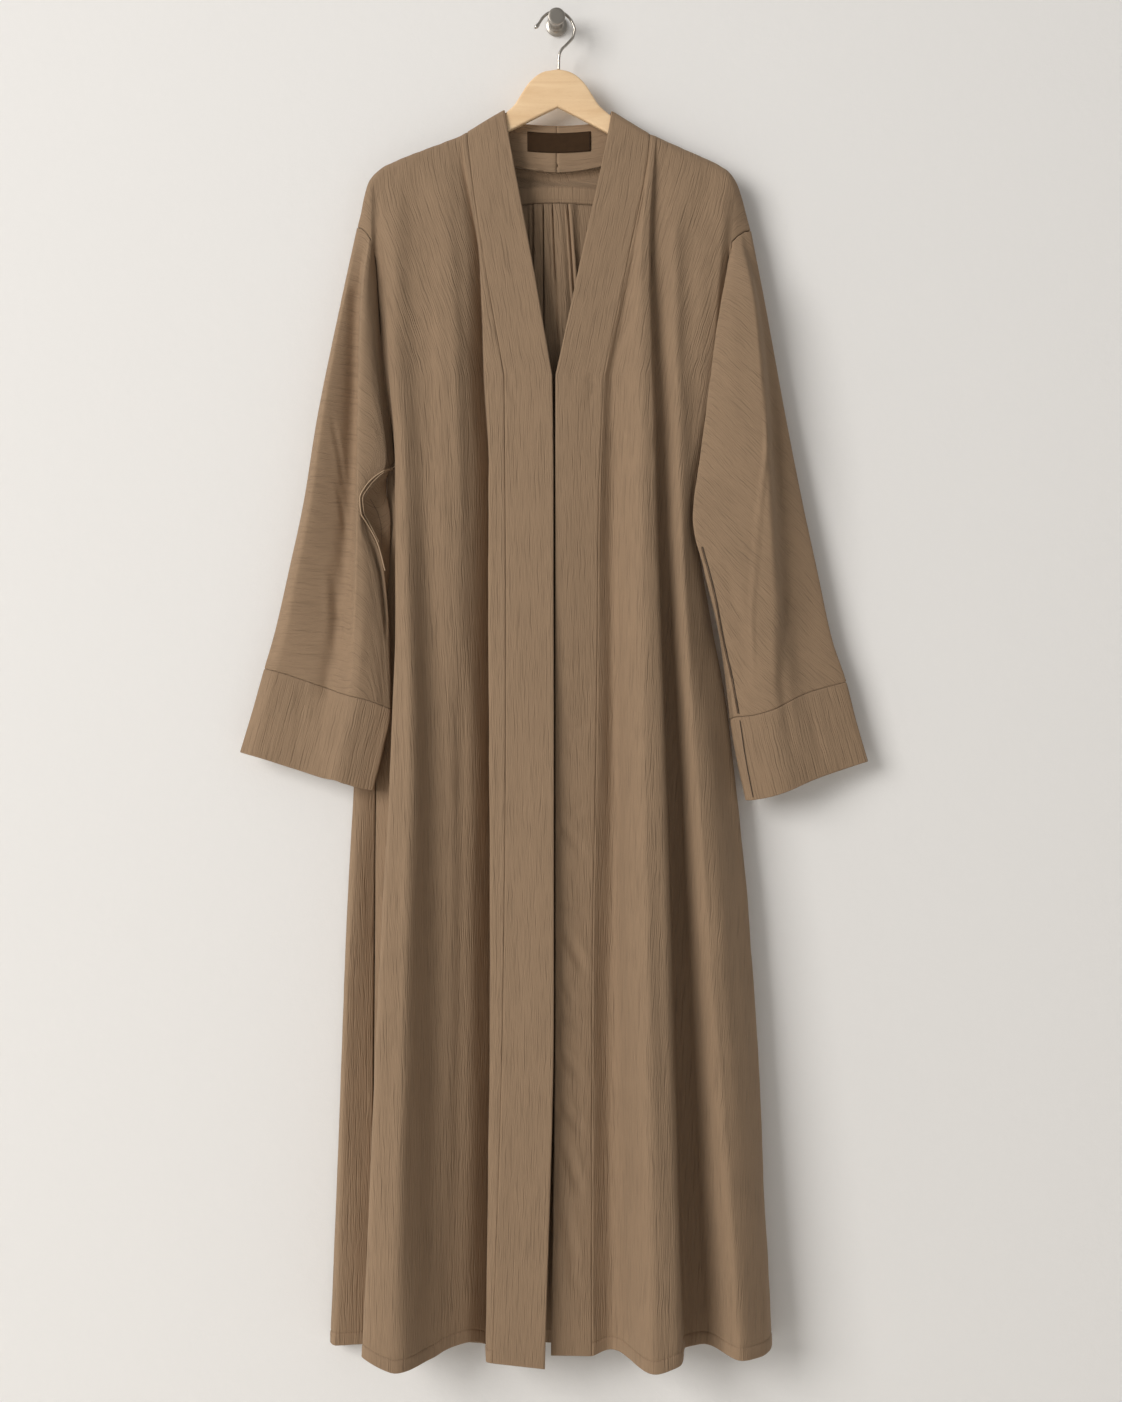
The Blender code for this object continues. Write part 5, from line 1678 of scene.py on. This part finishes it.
    def sew(self, rows: StitchRows, threads: dict[str, bpy.types.Material]) -> None:
        """Adds the stitches that show.

        Args:
            rows: What makes rows of stitches.
            threads: The finishes of the threads by name.
        """
        hems = [self.on_face(name, Edge.BOTTOM, HEM_DEPTH)[2:-2]
                for name in ("front_right_cloth", "front_left_cloth", "back_cloth")]
        label = [self.on_face("label_tape", edge, 1.3, 0.05)[2:-2] for edge in Edge]
        strip = [self.on_face("yoke_strip_cloth", edge, inset)
                 for edge, inset in ((Edge.TOP, 1.6), (Edge.TOP, 5.0), (Edge.BOTTOM, 1.8))]
        light, dark = threads["light"], threads["dark"]
        self.objects["hem_stitches"] = rows.sew("hem_stitches", hems, light, pitch=3.2)
        self.objects["label_stitches"] = rows.sew("label_stitches", label, dark, 2.4, 1.6, 0.2)
        self.objects["strip_stitches"] = rows.sew("strip_stitches", strip, light, pitch=2.8)
        for seam in SEAMS:
            line = self.on_cloth(seam.piece, seam.path)
            self.objects[seam.name] = rows.sew(seam.name, [line], threads[seam.thread], seam.pitch,
                                               seam.length, seam.radius)


@dataclass(frozen=True)
class Seam:
    """A corded edge or a row of close stitches along a path on one piece."""

    name: str
    piece: str
    thread: str
    pitch: float
    radius: float
    path: tuple[Place, ...]

    @property
    def length(self) -> float:
        """One stitch's length. A cord's overlap, so that they join."""
        return self.pitch * (0.9 if self.radius < CORD_RADIUS else 2.2)


SEAMS = (
    # The curl cords are the rolled edge of the right sleeve's curl; their pale thread, lighter than the
    # cloth, is a painted highlight of that lit edge.
    Seam("curl_cord", "sleeve_right_cloth", "pale", 1.2, 0.95, (
        (-193, 40, -535), (-200.7, 43, -539.6), (-215, 46, -549), (-225.6, 49, -561), (-232, 50, -575),
        (-230.4, 50, -593), (-225.6, 50, -601.2), (-211.5, 50, -628), (-203, 49, -660))),
    Seam("curl_cord_twin", "sleeve_right_cloth", "pale", 1.2, 0.6, (
        (-195, 40, -538), (-202, 43, -542), (-213.5, 46, -551.5), (-222.5, 49, -562.5), (-228.6, 50, -575),
        (-227.2, 50, -592), (-222.6, 50, -601), (-210, 50, -626))),
    Seam("under_layer_seam", "sleeve_right_cloth", "dark", 2.4, 0.3, (
        (-221, 38, -574), (-213, 34, -590), (-209, 33, -606), (-207, 34, -634))),
    Seam("sleeve_left_seam", "sleeve_left_cloth", "dark", 1.4, 0.5, (
        (172.5, 54, -633), (187, 53, -686), (198, 50, -742), (209.5, 44, -792), (216, 44, -828))),
    Seam("sleeve_left_seam_twin", "sleeve_left_cloth", "light", 1.4, 0.5, (
        (170.8, 55, -633), (185.2, 54, -686), (196.2, 51, -742), (207.7, 45, -792), (214.2, 45, -828))),
    Seam("cuff_left_seam", "cuff_left_cloth", "dark", 1.4, 0.5, (
        (217.5, 43, -838), (224.5, 43, -884), (233, 41, -927))),
)


@dataclass(frozen=True)
class Hanger:
    """The flat wooden hanger with its bent wire hook."""

    middle: float = 30.0
    thick: float = 10.0
    rounding: float = 2.72
    below_cloth: float = 3.4
    arm: float = 21.0
    arm_slant: float = 6.0
    reach: float = 197.0
    band_clear: float = 4.0
    arm_stops: int = 22
    neck_stops: int = 22
    neck: tuple[Spot, ...] = ((20, -66), (33, -77), (44, -93.5), (50.5, -103.5), (62, -114))
    arch_top: float = -61.0
    notch: tuple[Spot, ...] = ((-57, -135), (-28, -120.4), (1.5, -106), (30, -120.4), (59, -136))
    wire: float = 1.75
    wire_sides: int = 20
    wire_stops: int = 150
    tip: tuple[float, ...] = (0.5, 1.1, 1.45, 1.3)
    route: tuple[Spot, ...] = (
        (-25.6, -12.0), (-25.0, -10.6), (-24.0, -9.4), (-22.7, -8.0), (-20.3, -4.4), (-15.6, 2.4),
        (-8.8, 7.2), (0.3, 8.7), (7.0, 7.4), (13.0, 3.3), (18.7, -4.2), (21.6, -12.8), (19.8, -21.3),
        (13.2, -29.5), (6.2, -36.6), (3.5, -42.4), (2.6, -50.0), (2.5, -60.6),
    )

    def outline(self, front_right: Net, front_left: Net) -> list[Spot]:
        """The hanger's outline, counter-clockwise as it is looked at, its arms under the shoulders.

        Args:
            front_right: The right front, whose ridge the arm lies under.
            front_left: The left front, likewise.

        Returns:
            The outline's places.
        """
        def under(ridge: np.ndarray) -> list[Spot]:
            """Places along one arm's upper edge.

            Args:
                ridge: The first row of the front that lies over it.

            Returns:
                The places, outwards.
            """
            xs = np.linspace(abs(ridge[0][0]) + self.band_clear, self.reach, self.arm_stops)
            order = np.argsort(np.abs(ridge[:, 0]))
            heights = np.interp(xs, np.abs(ridge[order, 0]), ridge[order, 2])
            return [(float(x), float(z - self.below_cloth)) for x, z in zip(xs, heights)]

        def smoothed(path: Sequence[Spot], count: int) -> list[Spot]:
            """More places on a smooth curve through these.

            Args:
                path: The places that it passes through.
                count: How many places to return.

            Returns:
                The curve's places.
            """
            points = np.array(path, float)
            run = running(np.linalg.norm(np.diff(points, axis=0), axis=1))
            found = smooth_through(run, points, np.linspace(0, run[-1], count))
            return [tuple(map(float, p)) for p in found]

        def end_of(arm: list[Spot]) -> list[Spot]:
            """Places round the arm's end, downwards."""
            x, z = arm[-1]
            return [(x + 3, z - 3.5), (x + 4, z - 7), (x - 1, z - 14)]

        left, right = under(front_left[0]), under(front_right[0])
        curve = smoothed([(1.5, self.arch_top), (9.3, self.arch_top - 1.1), *self.neck], self.neck_stops)
        line = curve + left + smoothed(end_of(left), 5)
        line += [(x - self.arm_slant, z - self.arm) for x, z in left[-2::-1]]
        line += smoothed(self.notch[:1:-1], 7) + smoothed(self.notch[2::-1], 7)[1:]
        line += [(self.arm_slant - x, z - self.arm) for x, z in right[:-1]]
        line += smoothed([(-x, z) for x, z in end_of(right)[::-1]], 5)
        line += [(-x, z) for x, z in right[::-1]]
        line += [(3 - x, z) if x < 10 else (-x, z) for x, z in curve[:0:-1]]
        return line

    def wood(self, front_right: Net, front_left: Net, material: bpy.types.Material) -> bpy.types.Object:
        """The wooden body: its outline extruded, with well rounded edges.

        Args:
            front_right: The right front, for the outline.
            front_left: The left front, for the outline.
            material: The wood's finish.

        Returns:
            The piece, in the scene.
        """
        body = bmesh.new()
        low = self.middle - self.thick / 2
        outline = self.outline(front_right, front_left)
        face = body.faces.new([body.verts.new(world((x, low, z))) for x, z in outline])
        moved = bmesh.ops.extrude_face_region(body, geom=[face])["geom"]
        top = [v for v in moved if isinstance(v, bmesh.types.BMVert)]
        bmesh.ops.translate(body, verts=top, vec=(0, -self.thick * MM, 0))
        flat = [e for e in body.edges if abs(e.verts[0].co.y - e.verts[1].co.y) < 1e-6]
        bmesh.ops.bevel(body, geom=flat, offset=self.rounding * MM, segments=5, profile=0.5, affect="EDGES",
                        clamp_overlap=True)
        bmesh.ops.triangulate(body, faces=body.faces[:])
        return closed("hanger_wood", body, material, sharp=40)

    def hook(self, material: bpy.types.Material) -> bpy.types.Object:
        """The bent wire, swept with a round section along a smooth line.

        Args:
            material: The wire's finish.

        Returns:
            The piece, in the scene.
        """
        points = np.array([(x, self.middle, z) for x, z in self.route], float)
        radii = np.array([self.tip[i] if i < len(self.tip) else 1.0 for i in range(len(points))])
        run = running(np.linalg.norm(np.diff(points, axis=0), axis=1))
        at = np.linspace(0, run[-1], self.wire_stops)
        line = smooth_through(run, points, at)
        sizes = smooth_through(run, radii[:, None], at)[:, 0] * self.wire
        way = np.gradient(line, axis=0)
        way /= np.linalg.norm(way, axis=1, keepdims=True)
        side = np.array([0.0, 1.0, 0.0])
        angles = [2 * math.pi * i / self.wire_sides for i in range(self.wire_sides)]
        rings = [
            [tuple(place + (other * math.cos(angle) + side * math.sin(angle)) * size) for angle in angles]
            for place, other, size in zip(line, np.cross(way, side), sizes)
        ]
        return closed("hook_wire", through_rings(rings), material)


@dataclass(frozen=True)
class Knob:
    """The turned wall knob with its round plate and mushroom head."""

    sides: int = 96
    profile: tuple[Spot, ...] = (
        (0.0, 12.2), (0.25, 12.6), (0.6, 12.8), (2.5, 12.8), (3.0, 12.65), (3.3, 12.3), (3.5, 11.6),
        (4.0, 10.2), (5.0, 8.8), (6.4, 7.6), (8.0, 6.95), (10.0, 6.6), (12.0, 6.5), (34.0, 6.5),
        (35.0, 6.8), (35.6, 7.4),
        (36.0, 8.8), (36.4, 9.7), (36.9, 10.15), (37.6, 10.3), (40.8, 10.3), (41.4, 10.15), (41.8, 9.8),
        (42.0, 9.3), (42.05, 7.0), (42.1, 3.5), (42.1, 1.2),
    )

    def build(self, material: bpy.types.Material) -> bpy.types.Object:
        """Turns the profile about the line straight out of the wall.

        Args:
            material: The knob's finish.

        Returns:
            The piece, in the scene.
        """
        angles = [2 * math.pi * i / self.sides for i in range(self.sides)]
        rings = [[(radius * math.cos(a), out, radius * math.sin(a)) for a in angles]
                 for out, radius in self.profile]
        return closed("knob_turned", through_rings(rings), material, sharp=55)


@dataclass(frozen=True)
class Lamp:
    """One soft square area light."""

    name: str
    place: Place
    power: float
    size: float
    colour: Colour

    def hang(self, target: Place) -> None:
        """Puts the light in the scene, turned to the target.

        Args:
            target: What it looks at.
        """
        data = bpy.data.lights.new(self.name, "AREA")
        data.energy = self.power
        data.size = self.size
        data.color = linear(self.colour)[:3]
        obj = bpy.data.objects.new(self.name, data)
        bpy.context.scene.collection.objects.link(obj)
        obj.location = self.place
        obj.rotation_euler = (Vector(target) - Vector(self.place)).to_track_quat("-Z", "Y").to_euler()


@dataclass(frozen=True)
class Room:
    """The plain wall and floor, the soft lights and the camera. Places are in metres."""

    wall_colour: Colour = (238, 237, 236)
    floor_colour: Colour = (226, 222, 216)
    sky_colour: Colour = (244, 243, 240)
    sky_strength: float = 0.33
    wall_place: float = 0.0012
    floor_height: float = -1.95
    top: float = 3.0
    far: float = 4.0
    near: float = -6.0
    target: Place = (0.0, -0.05, -0.75)
    lamps: tuple[Lamp, ...] = (
        Lamp("Key", (-5.6, -5.6, 1.4), 510.0, 4.4, (255, 252, 248)),
        Lamp("Fill", (2.2, -3.4, -0.2), 1.0, 2.6, (245, 248, 255)),
        Lamp("Rear", (0.5, 3.2, 0.6), 22.0, 2.6, (255, 252, 248)),
    )

    def plane(self, name: str, corners: tuple[Place, ...], material: bpy.types.Material) -> None:
        """One flat backdrop.

        Args:
            name: The backdrop's name.
            corners: Its four corners.
            material: Its finish.
        """
        mesh = bpy.data.meshes.new(name)
        mesh.from_pydata(corners, [], [(0, 1, 2, 3)])
        placed(name, mesh, material)

    def plaster(self) -> bpy.types.Material:
        """Off-white plaster that lets light from behind through and isn't seen from behind.

        Returns:
            The new material.
        """
        material, n, shader = started("Plaster")
        grain = n.noise(n.add("ShaderNodeTexCoord").outputs["Object"], 85.0, 5.0, in_Roughness=0.62)
        n.fill(shader, in_Base_Color=linear(self.wall_colour), in_Normal=n.bump(0.22, 0.0014, grain),
               in_Roughness=0.95, in_Specular_IOR_Level=0.1)
        clear = n.add("ShaderNodeBsdfTransparent").outputs[0]
        behind = n.add("ShaderNodeNewGeometry").outputs["Backfacing"]
        shadow = n.add("ShaderNodeLightPath").outputs["Is Shadow Ray"]
        see = n.math("MAXIMUM", behind, shadow)
        mix = n.add("ShaderNodeMixShader", in_0=see, in_1=shader.outputs[0], in_2=clear).outputs[0]
        n.fill(material.node_tree.nodes["Material Output"], in_Surface=mix)
        return material

    def floor(self) -> bpy.types.Material:
        """A plain pale floor.

        Returns:
            The new material.
        """
        material, n, shader = started("Pale floor")
        n.fill(shader, in_Base_Color=linear(self.floor_colour), in_Roughness=0.9)
        return material

    def sky(self) -> bpy.types.World:
        """Soft light from all round.

        Returns:
            The new world.
        """
        sky = bpy.data.worlds.new("Soft room light")
        sky.use_nodes = True
        Nodes(sky.node_tree).fill(sky.node_tree.nodes["Background"], in_Color=linear(self.sky_colour),
                                  in_Strength=self.sky_strength)
        return sky

    def camera(self) -> bpy.types.Object:
        """The photo's view, level and square on to the wall.

        Returns:
            The new camera.
        """
        data = bpy.data.cameras.new("Camera")
        data.sensor_fit = "HORIZONTAL"
        data.sensor_width = SENSOR_WIDTH
        data.lens = FOCAL_PIXELS / PHOTO_WIDTH * SENSOR_WIDTH
        camera = bpy.data.objects.new("Camera", data)
        bpy.context.scene.collection.objects.link(camera)
        camera.location = CAMERA_PLACE
        camera.rotation_euler = (math.radians(90), 0, 0)
        return camera

    def build(self) -> None:
        """Makes the room."""
        far, near, low, top, wall = self.far, self.near, self.floor_height, self.top, self.wall_place
        self.plane("backdrop", ((-far, wall, low), (far, wall, low), (far, wall, top), (-far, wall, top)),
                   self.plaster())
        self.plane("ground", ((-far, near, low), (far, near, low), (far, far, low), (-far, far, low)),
                   self.floor())
        for lamp in self.lamps:
            lamp.hang(self.target)
        scene = bpy.context.scene
        scene.world = self.sky()
        scene.view_settings.view_transform = "Standard"
        scene.view_settings.look = "None"
        scene.camera = self.camera()


@dataclass(frozen=True)
class Cut:
    """The flat piece that was cut for what shows, in millimetres, and the CAD node that it stands for."""

    piece: str
    node: str
    width: float
    length: float
    area: float | None = None


CUTS = (
    Cut("front_right_cloth", "front_right", 330, 1480, 0.40),
    Cut("front_left_cloth", "front_left", 370, 1480, 0.44),
    Cut("band_right_cloth", "band_right", 62, 1590),
    Cut("band_left_cloth", "band_left", 62, 1590),
    Cut("yoke_cloth", "back_yoke", 450, 170, 0.042),
    Cut("back_cloth", "back_panel", 620, 1370, 0.72),
    Cut("sleeve_right_cloth", "sleeve_right", 480, 560, 0.13),
    Cut("sleeve_left_cloth", "sleeve_left", 520, 560, 0.15),
    Cut("cuff_right_cloth", "cuff_right", 350, 105),
    Cut("cuff_left_cloth", "cuff_left", 350, 105),
    Cut("yoke_strip_cloth", "yoke_seam_strip", 196, 21),
    Cut("label_tape", "label", 76, 24),
)


def dress(robe: Abaya) -> None:
    """Rides every cloth piece and the stitches on the body, and hides the CAD node that each cloth piece
    replaces.

    Args:
        robe: The finished robe.
    """
    for cut in CUTS:
        piece = robe.objects[cut.piece]
        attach(piece, "root")
        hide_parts(cut.node)
    for name in ("hem_stitches", "label_stitches", "strip_stitches", *(seam.name for seam in SEAMS)):
        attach(robe.objects[name], "root")


def main() -> None:
    """Builds the room and every piece, in order."""
    logging.basicConfig(level=logging.INFO, format="%(name)s: %(message)s")
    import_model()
    Room().build()
    crinkle = crinkle_group()
    body = CrepeFinish("Taupe crepe").make(crinkle)
    placket = CrepeFinish("Taupe crepe, faced", across=460.0, along=18.0, depth=0.0011).make(crinkle)
    sleeve = CrepeFinish("Taupe crepe, crosswise", across=470.0, along=22.0, depth=0.0012).make(crinkle)
    cuff = CrepeFinish("Taupe crepe, cuffs", across=420.0, along=14.0, depth=0.0016).make(crinkle)
    tape = TapeFinish().make()
    # The pale thread is lighter than the cloth as a painted highlight: it colours the cords along the lit
    # curled edge of the right sleeve.
    threads = {
        name: ThreadFinish(f"{name.capitalize()} thread", colour).make()
        for name, colour in (("light", (128, 104, 80)), ("dark", (44, 33, 25)), ("pale", (176, 150, 122)))
    }
    robe = Abaya()
    robe.build(body, placket, sleeve, cuff)
    robe.trim(Trim(), tape, placket)
    robe.sew(StitchRows(), threads)
    hanger = Hanger()
    wood = hanger.wood(robe.front_right, robe.front_left, BeechFinish().make())
    steel = MetalFinish("Polished steel", (190, 184, 176), 0.2, (900, 900, 900), 0.00002)
    hook = hanger.hook(steel.make())
    nickel = MetalFinish("Brushed nickel", (172, 166, 158), 0.34, (2200, 60, 2200), 0.00004)
    knob = Knob().build(nickel.make())
    for piece, node, slot in ((wood, "hanger_body", "beech"), (hook, "hanger_hook", "hook_steel"),
                              (knob, "wall_knob", "knob_nickel")):
        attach(piece, "root")
        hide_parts(node)
        LOG.info("%s stands for %s", piece.name, node)
    dress(robe)
    bpy.context.view_layer.update()


if __name__ == "__main__":
    main()
